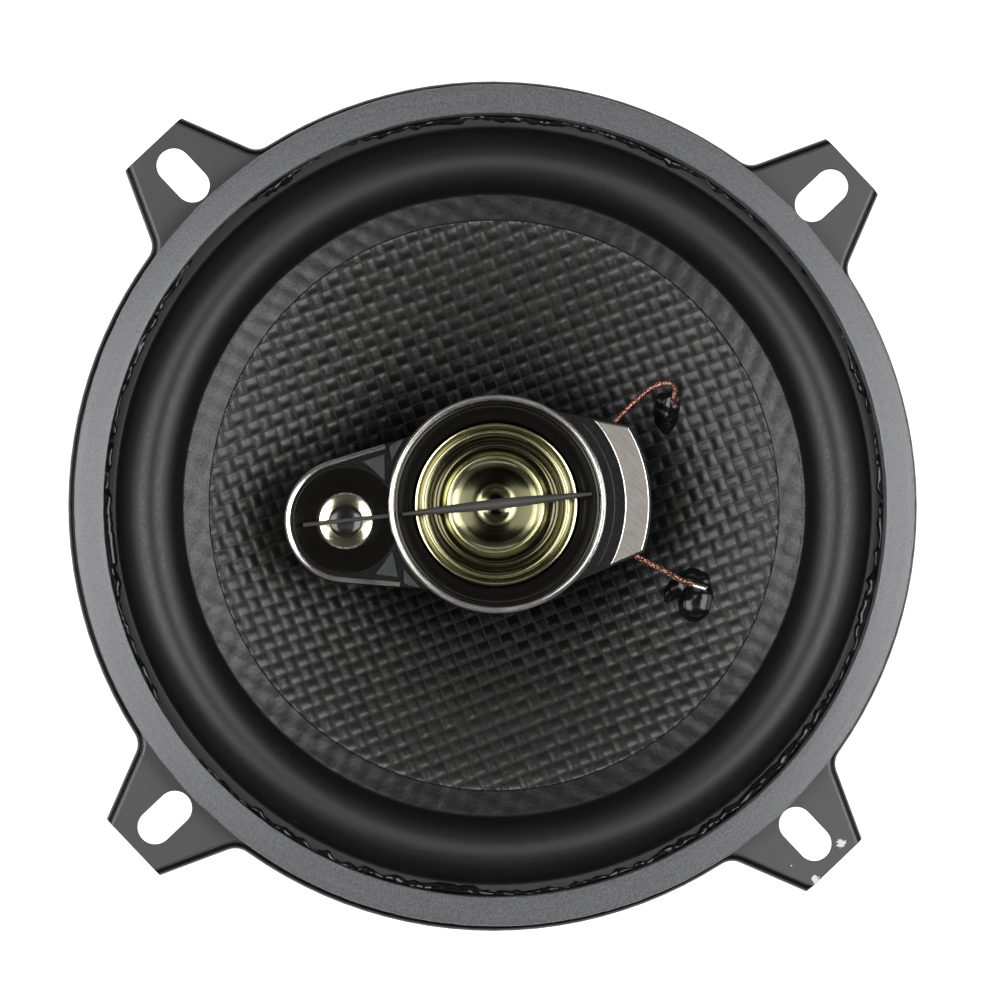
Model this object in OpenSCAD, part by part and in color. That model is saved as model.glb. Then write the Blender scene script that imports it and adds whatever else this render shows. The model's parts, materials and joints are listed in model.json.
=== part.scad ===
// Coaxial car speaker, 13 cm frame. Millimetres.
// +Z is the way the sound leaves, and z = 0 is the back face of the mounting ears.
// The ears lie on the X and Y axes. The cone and the two tweeter diaphragms slide along Z.

/* [Frame] */
// Radius of the round rim of the pressed frame
rim_r = 65; // [58:0.5:80]
// Thickness of the pressed sheet
sheet_t = 0.9; // [0.7:0.05:1.2]
// How far the down-turned edge reaches behind the ears
lip_h = 2; // [1:0.1:3]
// From the rim to the middle of a mounting slot
slot_out = 4.2; // [3.8:0.1:6]
// Length of a mounting slot, end to end
slot_l = 9.4; // [7:0.1:10]
// Width of a mounting slot
slot_w = 5.3; // [4.2:0.1:5.6]
// Metal left between a slot and the ear's tip
slot_edge = 1.9; // [1.5:0.1:4]
// Width of an ear at its tip
ear_tip_w = 11.8; // [10.5:0.1:14]
// Angle of an ear's sides from its middle line
ear_flare = 23; // [15:1:30]
// Radius of the hollow corner between an ear and the rim
ear_fillet = 3; // [1.5:0.5:5]

/* [Basket] */
// Depth of the straight well behind the surround
well_h = 6.6; // [5:0.2:9]
// Outer radius of the step that holds the spider
ledge_r = 37; // [35:0.5:40]
// Inner radius of that step
ledge_in_r = 30; // [28:0.5:31]
// Depth of the step's face behind the ears
ledge_z = 21.1; // [20:0.1:24]
// Depth of the magnet's front plate behind the ears
floor_z = 29; // [27.5:0.5:32]
// Half of the angle that a window spans
window_a = 34; // [20:1:36]
// Radius of a window's corners
window_corner = 3; // [1:0.5:4]

/* [Gasket and surround] */
// Step from the rim in to the gasket
gasket_inset = 1; // [0.5:0.1:2]
// Width of the gasket ring
gasket_w = 4.4; // [3:0.1:6]
// Thickness of the gasket ring
gasket_t = 4; // [2:0.1:5]
// Width of flat surround that shows inside the gasket
strip_w = 2.1; // [1:0.1:3]
// Width of the surround's glued edge under the gasket
surround_grip = 2.4; // [1.5:0.1:2.8]
// Width of the half roll
roll_w = 9.7; // [8:0.1:12]
// Height of the half roll
roll_h = 4; // [3:0.1:4.4]
// Width of the surround's inner land on the cone
land_w = 4.3; // [3:0.1:6]
// Thickness of the surround
surround_t = 0.4; // [0.3:0.05:0.6]

/* [Cone and voice coil] */
// Depth of the cone, edge to neck
cone_depth = 16; // [14:0.5:17]
// How much faster the cone falls near its neck
cone_flare = 1.12; // [1:0.02:1.3]
// Thickness of the cone
cone_t = 0.4; // [0.3:0.05:0.6]
// Inner radius of the voice coil former
coil_in_r = 12.7; // [12:0.1:13.5]
// Wall of the former
former_t = 0.3; // [0.1:0.05:0.4]
// Thickness of the winding
winding_t = 0.6; // [0.4:0.05:0.8]
// Length of the winding
winding_l = 9; // [7:0.5:10]

/* [Magnet] */
// Radius of the two steel plates
plate_r = 36; // [34:0.5:38]
// Thickness of the steel plates
plate_t = 5; // [4:0.5:6]
// Radius of the ferrite ring
magnet_r = 40; // [38.5:0.5:45]
// Thickness of the ferrite ring
magnet_t = 13; // [12:0.5:16]
// Radius of the hole in the ferrite ring
magnet_hole_r = 19; // [17:0.5:22]
// Clear gap on each side of the moving coil
air_gap = 0.5; // [0.35:0.05:0.6]

/* [Pod] */
// Turn of the pod about the axis
pod_turn = -37.2; // [-40:0.1:-34]
// Height of the pod's face above the ears
pod_top = 7; // [6.5:0.1:9]
// Radius of the main pod
pod_r = 16; // [15.8:0.1:17]
// Wall of the pod
pod_wall = 1.2; // [1:0.1:1.4]
// Depth of the main pod behind its face
pod_depth = 10.2; // [10:0.1:10.6]
// Depth of the small pod behind its face
small_depth = 7; // [6.6:0.1:7]
// From the axis to the middle of the small pod
small_x = 23; // [22:0.1:24]
// Radius of the small pod
small_r = 9.4; // [9:0.1:9.8]
// Angle at which the small pod's sides open towards the main pod
small_flare = 10.8; // [6:0.2:14]
// Outer radius of the wing opposite the small pod
wing_r = 23.5; // [23:0.1:24.5]
// Half width of the wing at its outer corner
wing_half = 9.75; // [8:0.05:10.5]
// Slope of the wing's sides
wing_slope = 17; // [12:1:20]
// Radius of the post that carries the pod
post_r = 4; // [3.6:0.1:4.4]

/* [Tweeters] */
// Outer radius of the bright ring
ring_r = 16.6; // [16.4:0.05:17]
// Width of the bright ring
ring_w = 1; // [0.8:0.05:1.1]
// Radius of the tweeter diaphragm
tweeter_r = 12.3; // [11.5:0.1:12.4]
// Radius of the tweeter's centre dome
dome_r = 6.9; // [6.7:0.05:7]
// Radius of the super tweeter diaphragm
super_r = 4; // [3.6:0.1:4.1]
// Radius of the super tweeter's dome
super_dome_r = 2.3; // [2:0.05:2.4]

/* [Terminals] */
// Direction of the terminal board, on the leg between two windows
terminal_a = -45; // [-45:90:45]
// Length of the terminal board across the leg
board_l = 23; // [22.4:0.2:26]
// Width of the terminal board along the leg
board_w = 11; // [10:0.5:12]
// Width of the positive blade
blade_wide = 4.8; // [4.2:0.1:6.3]
// Width of the negative blade
blade_narrow = 2.8; // [2.8:0.1:4.2]
// Length of the blades
blade_l = 8; // [6:0.5:9]

/* [Clearances] */
// Glue line between glued faces
glue = 0.02; // [0.01:0.01:0.05]
// Radial clearance of a fixed fit
fit = 0.03; // [0.02:0.01:0.05]
// Gap round a moving piece
run_gap = 0.3; // [0.25:0.05:0.4]

/* [Hidden] */
$fn = 96;

// Radii from the rim inwards
gasket_out_r = rim_r - gasket_inset;
gasket_in_r = gasket_out_r - gasket_w;
roll_out_r = gasket_in_r - strip_w;
roll_mid_r = roll_out_r - roll_w / 2;
roll_in_r = roll_out_r - roll_w;
land_in_r = roll_in_r - land_w;
surround_out_r = gasket_in_r + surround_grip;
well_r = roll_out_r - 0.1;
well_mid_r = well_r - sheet_t / 2;
flange_in_r = well_mid_r + 1.2;

// Heights of the soft ring
surround_z = sheet_t + glue;
surround_top = surround_z + surround_t;

// Bends and clearances of the pressed frame
bend_r = 1.2;
wide_bend_r = 3;
window_inset = 1.6;
window_margin = 0.96;
ring_overlap = 1;

// Ears
slot_mid_r = rim_r + slot_out;
ear_tip_r = slot_mid_r + slot_l / 2 + slot_edge;

// Cone and coil
former_out_r = coil_in_r + former_t;
winding_in_r = former_out_r + glue;
winding_out_r = winding_in_r + winding_t;
neck_r = former_out_r + cone_t / 2 + glue;
cone_top = surround_z - glue;
cone_z0 = cone_top - cone_t / 2;
neck_z = cone_z0 - cone_depth;
collar_l = 2;
lip_gap = 0.2;
coil_mid_z = -floor_z - plate_t / 2;
former_bottom = coil_mid_z - winding_l / 2;
former_top = neck_z + 2;
filter_drop = 0.4;
filter_t = 1;

// Spider
spider_t = 0.4;
spider_z = -ledge_z + glue + spider_t / 2;
spider_waves = 5;
spider_amp = 0.9;
spider_collar_h = 1.8;
spider_collar_w = 2.4;
spider_land_r = ledge_in_r + 1.8;
spider_out_r = ledge_r - 1;

// Magnet stack
plate_z = -floor_z - plate_t;
magnet_z = plate_z - magnet_t;
back_z = magnet_z - plate_t;
pole_r = coil_in_r - air_gap;
plate_hole_r = winding_out_r + air_gap;
pole_top = -floor_z + 0.4;
plate_chamfer = 0.8;
spigot_z = pole_top - 7.4;
screw_r = 2;
screw_head_r = 3.8;
screw_head_h = 2.8;
screw_pocket = 3.5;
screw_room_r = screw_head_r + 0.6;
rivet_r = 1.6;
rivet_depth = 2.3;
rivet_room = 2.5;
rivet_head_h = 0.9;
rivet_rim = 1;
rivet_ring_r = 23;

// Pod
pod_bottom = pod_top - pod_depth;
small_bottom = pod_top - small_depth;
cover_h = 3.2;
cover_bottom = pod_bottom - cover_h;
cover_bottom_r = 9;
post_flange_r = 7.5;
post_flange_h = 1.6;
post_shoulder_r = 6;
spigot_r = 3;
cavity_r = pod_r - pod_wall;
small_cavity_r = small_r - pod_wall;
ring_in_r = ring_r - ring_w;
ring_h = 1.2;
trim_w = 0.9;
trim_h = 0.8;
trim_end_x = -16;
plate_h = 0.5;
badge_in_r = 19.4;
badge_out_r = wing_r - 0.3;
inner_wall = 0.9;
seam = 0.01;
pocket_x0 = 17.4;
pocket_x1 = wing_r - 1.5;
pocket_half = 6;
pocket_h = small_depth - 1.2;
capacitor_r = 2.1;
capacitor_l = 10.4;
tag_t = 0.3;
tag_w = 1.6;
tag_l = 2.6;
tag_x = 17.6;
tag_y = 8.2;

// Tweeters
film_t = 0.15;
film_drop = 2.9;
film_z = pod_top - film_drop;
funnel_seat = 0.7;
funnel_bottom = film_z - funnel_seat;
funnel_in_r = tweeter_r + run_gap + 0.1;
funnel_lip_h = 0.5;
funnel_lip_t = 0.4;
plate_top_drop = 1.9;
plate_bottom_drop = 3.4;
yoke_seat_h = 1.2;
tweeter_motor_r = 9;
tweeter_coil_t = 0.3;
tweeter_pole_r = dome_r - 0.6;
tweeter_gap_r = dome_r + tweeter_coil_t + 0.3;
bar_h = 1.1;
bar_drop = 0.6;
bar_mid_w = 1.6;
bar_end_w = 0.55;
bar_half = 14.5;
super_film_z = pod_top - 3;
super_bar_half = 6.3;
super_bar_h = 1.8;
super_bar_w = 0.6;
super_lip_h = 0.3;
piezo_r = 6.4;
piezo_t = 0.5;
piezo_z = small_bottom + 1.7;

// Terminals
leg_drop = ledge_z + sheet_t - well_h;
leg_run = well_r - ledge_r;
leg_a = atan2(leg_drop, leg_run);
bend_run = wide_bend_r * tan((90 - leg_a) / 2) * cos(leg_a);
window_out_r = well_mid_r - bend_run - window_margin;
board_t = 1.6;
board_gap = 0.06;
board_share = 0.46;
board_r = ledge_r + leg_run * board_share;
board_z = -ledge_z - sheet_t + leg_drop * board_share;
eyelet_y = 9.4;
eyelet_r = 1;
foot_t = 0.8;
foot_y0 = 3.6;

// Leads
lead_r = 0.42;
solder_gap = 0.1;
lead_start_z = small_bottom - glue - tag_t - lead_r - solder_gap;
tinsel_r = 0.5;
glue_upper = [29.3, -8.4];
glue_lower = [12.2, -32.2];
drop_r = [2.7, 2];
drop_rise = [2, 1.2];
// Front routes: x and y, and the height over the cone
lead_upper_route = [
  [18.9, -3.9, 10.9], [20.6, -3.6, 9.9], [22.6, -3.4, 8.8], [25, -3.3, 7.6], [27.3, -3.3, 6.6],
  [29.4, -3.4, 5.7], [31.4, -4, 4.8], [32.6, -5, 3.6], [32.6, -6.2, 2.3], [31.8, -7, 1.7]
];
lead_lower_route = [
  [9, -17.1, 10.9], [9.8, -18.9, 9.5], [10.6, -20.8, 8], [11.3, -22.8, 6.5], [12, -24.8, 5.1],
  [12.6, -26.6, 3.9], [13.1, -28.1, 2.9]
];
// Rear routes: x along the leg, y across it and z off it, in the terminal board's own directions
tinsel_route = [
  [0, 9.4, 1.2], [-1, 9.7, 3], [-3, 10.2, 4.2], [-6, 10.9, 4.6], [-9, 11.8, 5], [-12, 12.8, 6]
];

function unit(v) = v / norm(v);
function last(v) = v[len(v) - 1];
function reversed(v) = [for (i = [len(v) - 1:-1:0]) v[i]];
function left(v) = [-v[1], v[0]];

// One corner of a path as an arc of radius r: a, b and c are points, and b is the corner
function corner(a, b, c, r, steps = 6) =
  let (u = unit(a - b), v = unit(c - b), half = acos(u * v) / 2)
  let (mid = b + unit(u + v) * r / sin(half))
  let (from = b + u * r / tan(half) - mid, to = b + v * r / tan(half) - mid)
  let (a0 = atan2(from[1], from[0]), turn = atan2(from[0] * to[1] - from[1] * to[0], from * to))
  [for (i = [0:steps]) mid + r * [cos(a0 + turn * i / steps), sin(a0 + turn * i / steps)]];

// A path whose inner points are given as [x, y, radius], with its corners rounded
function bent(p) = concat(
  [[p[0][0], p[0][1]]],
  [for (i = [1:len(p) - 2])
    each corner([p[i - 1][0], p[i - 1][1]], [p[i][0], p[i][1]], [p[i + 1][0], p[i + 1][1]], p[i][2])],
  [[last(p)[0], last(p)[1]]]
);

// The path moved sideways by d, with mitred corners; a positive d is towards the front
function beside(p, d) = [
  for (i = [0:len(p) - 1])
    let (n0 = left(unit(p[max(i, 1)] - p[max(i, 1) - 1])))
    let (n1 = left(unit(p[min(i, len(p) - 2) + 1] - p[min(i, len(p) - 2)])))
    let (n = unit(n0 + n1))
    p[i] + n * d / (n * n0)
];

// A sheet of thickness t, turned about the axis, along a path of [radius, height]
module turned_sheet(path, t) {
  rotate_extrude()
    polygon(concat(beside(path, t / 2), reversed(beside(path, -t / 2))));
}

module tube(r_out, r_in, z0, z1) {
  translate([0, 0, z0])
    difference() {
      cylinder(r = r_out, h = z1 - z0);
      translate([0, 0, -1])
        cylinder(r = r_in, h = z1 - z0 + 2);
    }
}

module disc(r, z0, z1) {
  translate([0, 0, z0])
    cylinder(r = r, h = z1 - z0);
}

module in_pod() {
  rotate([0, 0, pod_turn])
    children();
}

// Points between a route's points on a smooth curve
function smooth(p, steps) = [
  for (i = [0:len(p) - 2])
    for (k = [0:steps - 1])
      let (a = p[max(i - 1, 0)], b = p[i], c = p[i + 1], d = p[min(i + 2, len(p) - 1)], u = k / steps)
      (2 * b + u * (c - a) + u * u * (2 * a - 5 * b + 4 * c - d)
        + u * u * u * (3 * b - a - 3 * c + d)) / 2,
  last(p)
];

// A round tube swept along a smooth route
module lead(route, r, steps = 1, sides = 8) {
  p = smooth(route, steps);
  n = len(p);
  rings = [
    for (i = [0:n - 1])
      let (t = unit(p[min(i + 1, n - 1)] - p[max(i - 1, 0)]))
      let (s = unit(cross(t, [0, 0, 1])), u = cross(s, t))
      for (k = [0:sides - 1])
        p[i] + r * (cos(360 * k / sides) * s + sin(360 * k / sides) * u)
  ];
  walls = [
    for (i = [0:n - 2])
      for (k = [0:sides - 1])
        let (a = i * sides + k, b = i * sides + (k + 1) % sides)
        each [[a, b, b + sides], [a, b + sides, a + sides]]
  ];
  ends = [[for (k = [sides - 1:-1:0]) k], [for (k = [0:sides - 1]) (n - 1) * sides + k]];
  polyhedron(rings, concat(walls, ends));
}

// ---- Frame ----

// The ear's side and its hollow corner, moved in by inset
module ear_outline(inset, tip_extra) {
  n = [sin(ear_flare), cos(ear_flare)];
  side = ear_tip_r * n[0] + ear_tip_w / 2 * n[1];
  mid_a = asin((ear_fillet + side) / (rim_r + ear_fillet)) - ear_flare;
  mid = (rim_r + ear_fillet) * [cos(mid_a), sin(mid_a)];
  on_side = mid - (ear_fillet + inset) * n;
  on_rim = (rim_r - inset) * [cos(mid_a), sin(mid_a)];
  tip_x = ear_tip_r + tip_extra;
  tip_y = (side - inset - tip_x * n[0]) / n[1];
  difference() {
    polygon([
      [0, 0], on_rim * 0.97, on_rim, mid, on_side, [tip_x, tip_y], [tip_x, -tip_y],
      [on_side[0], -on_side[1]], [mid[0], -mid[1]], [on_rim[0], -on_rim[1]],
      [on_rim[0], -on_rim[1]] * 0.97
    ]);
    for (s = [-1, 1])
      translate([mid[0], s * mid[1]])
        circle(r = ear_fillet + inset);
  }
}

module flange_outline(inset = 0, tip_extra = 0) {
  circle(r = rim_r - inset);
  for (i = [0:3])
    rotate(90 * i)
      ear_outline(inset, tip_extra);
}

module slot_outline() {
  reach = (slot_l - slot_w) / 2;
  square([2 * reach, slot_w], center = true);
  for (s = [-1, 1])
    translate([s * reach, 0])
      circle(d = slot_w);
}

// One window between two legs, seen along the axis
module window_outline(r0, r1) {
  c = window_corner;
  a0 = window_a - asin(c / (r0 + c));
  a1 = window_a - asin(c / (r1 - c));
  intersection() {
    difference() {
      circle(r = r1);
      circle(r = r0);
    }
    union() {
      polygon([[0, 0], 2 * r1 * [cos(a0), sin(a0)], 2 * r1 * [cos(a0), -sin(a0)]]);
      difference() {
        polygon([
          [0, 0], 2 * r1 * [cos(window_a), sin(window_a)], 2 * r1 * [cos(window_a), -sin(window_a)]
        ]);
        circle(r = r0 + c);
      }
      for (s = [-1, 1])
        translate((r0 + c) * [cos(a0), s * sin(a0)])
          circle(r = c);
    }
    union() {
      circle(r = r1 - c);
      polygon([[0, 0], 2 * r1 * [cos(a1), sin(a1)], 2 * r1 * [cos(a1), -sin(a1)]]);
      for (s = [-1, 1])
        translate((r1 - c) * [cos(a1), s * sin(a1)])
          circle(r = c);
    }
  }
}

module on_leg() {
  rotate([0, 0, terminal_a])
    translate([board_r, 0, board_z])
      rotate([0, -leg_a, 0])
        children();
}

module basket() {
  half = sheet_t / 2;
  path = bent([
    [plate_hole_r + bend_r, -floor_z + half],
    [ledge_in_r + half, -floor_z + half, bend_r],
    [ledge_in_r + half, -ledge_z - half, bend_r],
    [ledge_r, -ledge_z - half, wide_bend_r],
    [well_mid_r, -well_h + half, wide_bend_r],
    [well_mid_r, half, bend_r],
    [flange_in_r + 1.6 * ring_overlap, half]
  ]);
  color([0.13, 0.13, 0.13])
    difference() {
      union() {
        turned_sheet(path, sheet_t);
        linear_extrude(sheet_t)
          difference() {
            flange_outline();
            circle(r = flange_in_r + 0.6 * ring_overlap);
          }
        translate([0, 0, -lip_h])
          linear_extrude(lip_h)
            difference() {
              flange_outline();
              flange_outline(sheet_t, 2);
            }
      }
      for (i = [0:3])
        rotate([0, 0, 90 * i]) {
          translate([slot_mid_r, 0, -1])
            linear_extrude(sheet_t + 2)
              slot_outline();
          translate([0, 0, -floor_z + 1.5])
            linear_extrude(floor_z - 2.5)
              window_outline(ledge_r + window_inset, window_out_r);
          rotate([0, 0, 45])
            translate([rivet_ring_r, 0, -floor_z - 1])
              cylinder(r = rivet_r + fit, h = sheet_t + 2);
        }
      on_leg()
        translate([0, 0, -1])
          cylinder(r = rivet_r + fit, h = 3);
    }
}

module gasket() {
  color([0.42, 0.42, 0.44])
    tube(gasket_out_r, gasket_in_r, surround_top + glue, surround_top + glue + gasket_t);
}

module surround() {
  z = surround_z + surround_t / 2;
  // The roll is an arc over a chord as wide as the roll
  half = roll_w / 2;
  arc_r = (half * half + roll_h * roll_h) / (2 * roll_h);
  arc_a = 2 * atan(roll_h / half);
  steps = 20;
  path = concat(
    [[land_in_r, z]],
    [for (i = [0:steps])
      let (a = arc_a * (1 - 2 * i / steps))
      [roll_mid_r - arc_r * sin(a), z + roll_h - arc_r + arc_r * cos(a)]],
    [[surround_out_r, z]]
  );
  color([0.1, 0.1, 0.1])
    turned_sheet(path, surround_t);
}

module spider() {
  r0 = former_out_r + glue + spider_t / 2;
  r1 = r0 + spider_collar_w;
  steps = spider_waves * 8;
  path = concat(
    bent([[r0, spider_z + spider_collar_h], [r0, spider_z, 0.5], [r1, spider_z]]),
    [for (i = [1:steps])
      [r1 + (spider_land_r - r1) * i / steps, spider_z - spider_amp * sin(360 * spider_waves * i / steps)]],
    [[spider_out_r, spider_z]]
  );
  color([0.75, 0.6, 0.35])
    turned_sheet(path, spider_t);
}

// ---- Magnet ----

module top_plate() {
  color([0.7, 0.7, 0.68])
    difference() {
      rotate_extrude()
        polygon([
          [plate_hole_r, -floor_z], [plate_hole_r, plate_z], [plate_r, plate_z],
          [plate_r, -floor_z - plate_chamfer], [plate_r - plate_chamfer, -floor_z]
        ]);
      for (i = [0:3])
        rotate([0, 0, 45 + 90 * i])
          translate([rivet_ring_r, 0, -floor_z - rivet_room])
            cylinder(r = rivet_r + fit, h = 2 * rivet_room);
    }
}

module magnet() {
  c = plate_chamfer;
  color([0.24, 0.24, 0.25])
    rotate_extrude()
      polygon([
        [magnet_hole_r, plate_z], [magnet_hole_r, magnet_z], [magnet_r - c, magnet_z],
        [magnet_r, magnet_z + c], [magnet_r, plate_z - c], [magnet_r - c, plate_z]
      ]);
}

module t_yoke() {
  c = plate_chamfer;
  color([0.7, 0.7, 0.68])
    rotate_extrude()
      polygon([
        [screw_room_r, back_z], [plate_r - c, back_z], [plate_r, back_z + c],
        [plate_r, magnet_z], [pole_r, magnet_z], [pole_r, pole_top - c], [pole_r - c, pole_top],
        [post_r + fit, pole_top], [post_r + fit, spigot_z], [screw_r + fit, spigot_z],
        [screw_r + fit, back_z + screw_pocket], [screw_room_r, back_z + screw_pocket]
      ]);
}

module basket_rivets() {
  top = -floor_z + sheet_t + fit;
  color([0.6, 0.6, 0.58])
    for (i = [0:3])
      rotate([0, 0, 45 + 90 * i])
        translate([rivet_ring_r, 0, 0])
          union() {
            disc(rivet_r, -floor_z - rivet_depth, top + rivet_head_h / 2);
            translate([0, 0, top])
              cylinder(r1 = rivet_r + rivet_rim, r2 = rivet_r + 0.4 * rivet_rim, h = rivet_head_h);
          }
}

// ---- Cone ----

function cone_z(r) =
  cone_z0 - cone_depth * pow((land_in_r - min(r, land_in_r)) / (land_in_r - neck_r), cone_flare);
function cone_front(p) = cone_z(norm([p[0], p[1]])) + cone_t * 0.6;

function cone_path() = concat(
  [[neck_r, neck_z - collar_l]],
  [for (i = [0:14]) let (r = neck_r + (land_in_r - neck_r) * i / 14) [r, cone_z(r)]],
  [[roll_in_r - lip_gap, cone_z0]]
);

module cone() {
  color([0.17, 0.17, 0.17])
    turned_sheet(cone_path(), cone_t);
}

module voice_coil_former() {
  color([0.72, 0.45, 0.2])
    tube(former_out_r, coil_in_r, former_bottom, former_top);
}

module voice_coil() {
  color([0.72, 0.38, 0.22])
    tube(winding_out_r, winding_in_r, former_bottom, former_bottom + winding_l);
}

module dust_filter() {
  color([0.2, 0.2, 0.2])
    tube(coil_in_r - glue, post_r + 1, former_top - filter_drop - filter_t, former_top - filter_drop);
}

// What lies behind the cone's front face and a glue line
module behind_cone() {
  path = cone_path();
  rotate_extrude()
    polygon(concat(
      beside(path, cone_t / 2 + glue),
      [[roll_in_r - lip_gap, 2 * neck_z], [neck_r, 2 * neck_z]]
    ));
}

module blob(p, r, rise) {
  translate([p[0], p[1], cone_front(p) + rise - r])
    sphere(r = r);
}

module lead_glue_upper() {
  color([0.08, 0.08, 0.08])
    difference() {
      union() {
        blob(glue_upper, drop_r[0], drop_rise[0] * 0.75);
        blob(glue_upper + [1.4, 1], drop_r[1], drop_rise[1]);
      }
      behind_cone();
    }
}

module lead_glue_lower() {
  color([0.08, 0.08, 0.08])
    difference() {
      union() {
        blob(glue_lower, drop_r[0], drop_rise[0]);
        blob(glue_lower + [1.8, 2.6], drop_r[1], drop_rise[1]);
      }
      behind_cone();
    }
}

// ---- Pod ----

module pod_post() {
  color([0.15, 0.15, 0.16])
    difference() {
      union() {
        disc(post_r, spigot_z + 0.2, cover_bottom);
        disc(post_shoulder_r, pole_top + glue, pole_top + 2);
        disc(post_flange_r, cover_bottom - glue - post_flange_h, cover_bottom - glue);
        disc(spigot_r, cover_bottom - 1, cover_bottom + cover_h - 0.6);
      }
      translate([0, 0, spigot_z - 1])
        cylinder(r = screw_r + fit, h = 12);
    }
}

module pod_screw() {
  head = back_z + screw_pocket - fit;
  color([0.65, 0.65, 0.66])
    difference() {
      union() {
        disc(screw_head_r, head - screw_head_h, head);
        disc(screw_r, head - 1, spigot_z + 9);
      }
      for (a = [0, 90])
        rotate([0, 0, a])
          translate([-2.2, -0.5, head - screw_head_h - 1])
            cube([4.4, 1, 2.6]);
    }
}

module pod_back_cover() {
  color([0.12, 0.12, 0.12])
    rotate_extrude()
      polygon([
        [spigot_r + fit, cover_bottom], [cover_bottom_r, cover_bottom],
        [pod_r - 1, pod_bottom - 1.4], [pod_r, pod_bottom - glue], [spigot_r + fit, pod_bottom - glue]
      ]);
}

// The small pod's round end and its sides, as far as the main pod. The sides meet the round end
// a hair inside it, so that they cross it and don't only touch it.
module small_block(z, h, inset = 0) {
  d = [cos(small_flare), sin(small_flare)];
  touch = [-small_x, 0] + (small_r - inset - seam) * left(d);
  foot = touch - d * (touch * d);
  translate([-small_x, 0, z])
    cylinder(r = small_r - inset, h = h);
  translate([0, 0, z])
    linear_extrude(h)
      polygon([touch, foot, [foot[0], -foot[1]], [touch[0], -touch[1]]]);
}

module wing_outline(r, inset = 0) {
  corner_x = sqrt(wing_r * wing_r - wing_half * wing_half);
  x0 = pod_r * 0.45;
  x1 = wing_r + 3;
  down = inset / cos(wing_slope);
  y0 = wing_half + (corner_x - x0) * tan(wing_slope) - down;
  y1 = wing_half + (corner_x - x1) * tan(wing_slope) - down;
  intersection() {
    circle(r = r);
    polygon([[x0, y0], [x1, y1], [x1, -y1], [x0, -y0]]);
  }
}

module pod_housing() {
  color([0.12, 0.11, 0.1])
    in_pod()
      difference() {
        union() {
          disc(pod_r, pod_bottom, pod_top);
          small_block(small_bottom, small_depth);
          translate([0, 0, small_bottom])
            linear_extrude(small_depth)
              wing_outline(wing_r);
        }
        disc(cavity_r, pod_bottom - 1, pod_top + 1);
        difference() {
          translate([-small_x, 0, 0])
            disc(small_cavity_r, small_bottom + 1, pod_top + 1);
          disc(cavity_r + inner_wall, pod_bottom, pod_top + 2);
        }
        translate([pocket_x0, -pocket_half, small_bottom - 1])
          cube([pocket_x1 - pocket_x0, 2 * pocket_half, pocket_h + 1]);
      }
}

module pod_trim_ring() {
  c = 0.3;
  z = pod_top + glue;
  color([0.78, 0.76, 0.74])
    rotate_extrude()
      polygon([
        [ring_in_r, z], [ring_r, z], [ring_r, z + ring_h - c], [ring_r - c, z + ring_h],
        [ring_in_r + c, z + ring_h], [ring_in_r, z + ring_h - c]
      ]);
}

module pod_trim_small() {
  color([0.78, 0.76, 0.74])
    in_pod()
      difference() {
        small_block(pod_top + glue, trim_h);
        small_block(pod_top - 1, trim_h + 2, trim_w);
        translate([trim_end_x, -pod_r, pod_top - 1])
          cube([2 * pod_r, 2 * pod_r, trim_h + 2]);
      }
}

module badge_plate() {
  color([0.62, 0.6, 0.57])
    in_pod()
      translate([0, 0, pod_top + glue])
        linear_extrude(plate_h)
          difference() {
            wing_outline(badge_out_r, 0.3);
            circle(r = badge_in_r);
          }
}

module pod_solder_tags() {
  color([0.8, 0.7, 0.45])
    in_pod()
      for (s = [-1, 1])
        translate([tag_x, s * tag_y - tag_w / 2, small_bottom - glue - tag_t])
          cube([tag_l, tag_w, tag_t]);
}

// A front route starts under its solder tag and ends on the cone
function height_over(p) = cone_z(norm([p[0], p[1]])) + p[2];
function over_cone(route) =
  let (n = len(route) - 1, lift = lead_start_z - height_over(route[0]))
    [for (i = [0:n]) [route[i][0], route[i][1], height_over(route[i]) + lift * (1 - i / n)]];

module front_lead_upper() {
  color([0.72, 0.42, 0.3])
    lead(over_cone(lead_upper_route), lead_r);
}

module front_lead_lower() {
  color([0.72, 0.42, 0.3])
    lead(over_cone(lead_lower_route), lead_r);
}

// ---- Tweeter ----

module tweeter_waveguide() {
  lip_r = ring_in_r - fit;
  color([0.1, 0.1, 0.1])
    rotate_extrude()
      polygon([
        [funnel_in_r, funnel_bottom], [cavity_r - fit, funnel_bottom], [cavity_r - fit, pod_top + glue],
        [lip_r, pod_top + glue], [lip_r, pod_top + funnel_lip_h], [lip_r - funnel_lip_t, pod_top + funnel_lip_h],
        [funnel_in_r, film_z + 0.5]
      ]);
}

module tweeter_bar() {
  color([0.35, 0.35, 0.34])
    in_pod()
      translate([0, 0, pod_top - bar_drop])
        linear_extrude(bar_h)
          polygon([
            [-bar_half, -bar_end_w / 2], [0, -bar_mid_w / 2], [bar_half, -bar_end_w / 2],
            [bar_half, bar_end_w / 2], [0, bar_mid_w / 2], [-bar_half, bar_end_w / 2]
          ]);
}

module tweeter_yoke() {
  top = film_z - plate_top_drop;
  color([0.7, 0.7, 0.68])
    rotate_extrude()
      polygon([
        [0, pod_bottom], [tweeter_motor_r, pod_bottom], [tweeter_motor_r, top],
        [tweeter_gap_r, top], [tweeter_gap_r, pod_bottom + yoke_seat_h], [0, pod_bottom + yoke_seat_h]
      ]);
}

module tweeter_magnet() {
  color([0.75, 0.75, 0.77])
    disc(tweeter_pole_r - 0.4, pod_bottom + yoke_seat_h, film_z - plate_bottom_drop);
}

module tweeter_pole_plate() {
  color([0.7, 0.7, 0.68])
    disc(tweeter_pole_r, film_z - plate_bottom_drop, film_z - plate_top_drop);
}

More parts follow.
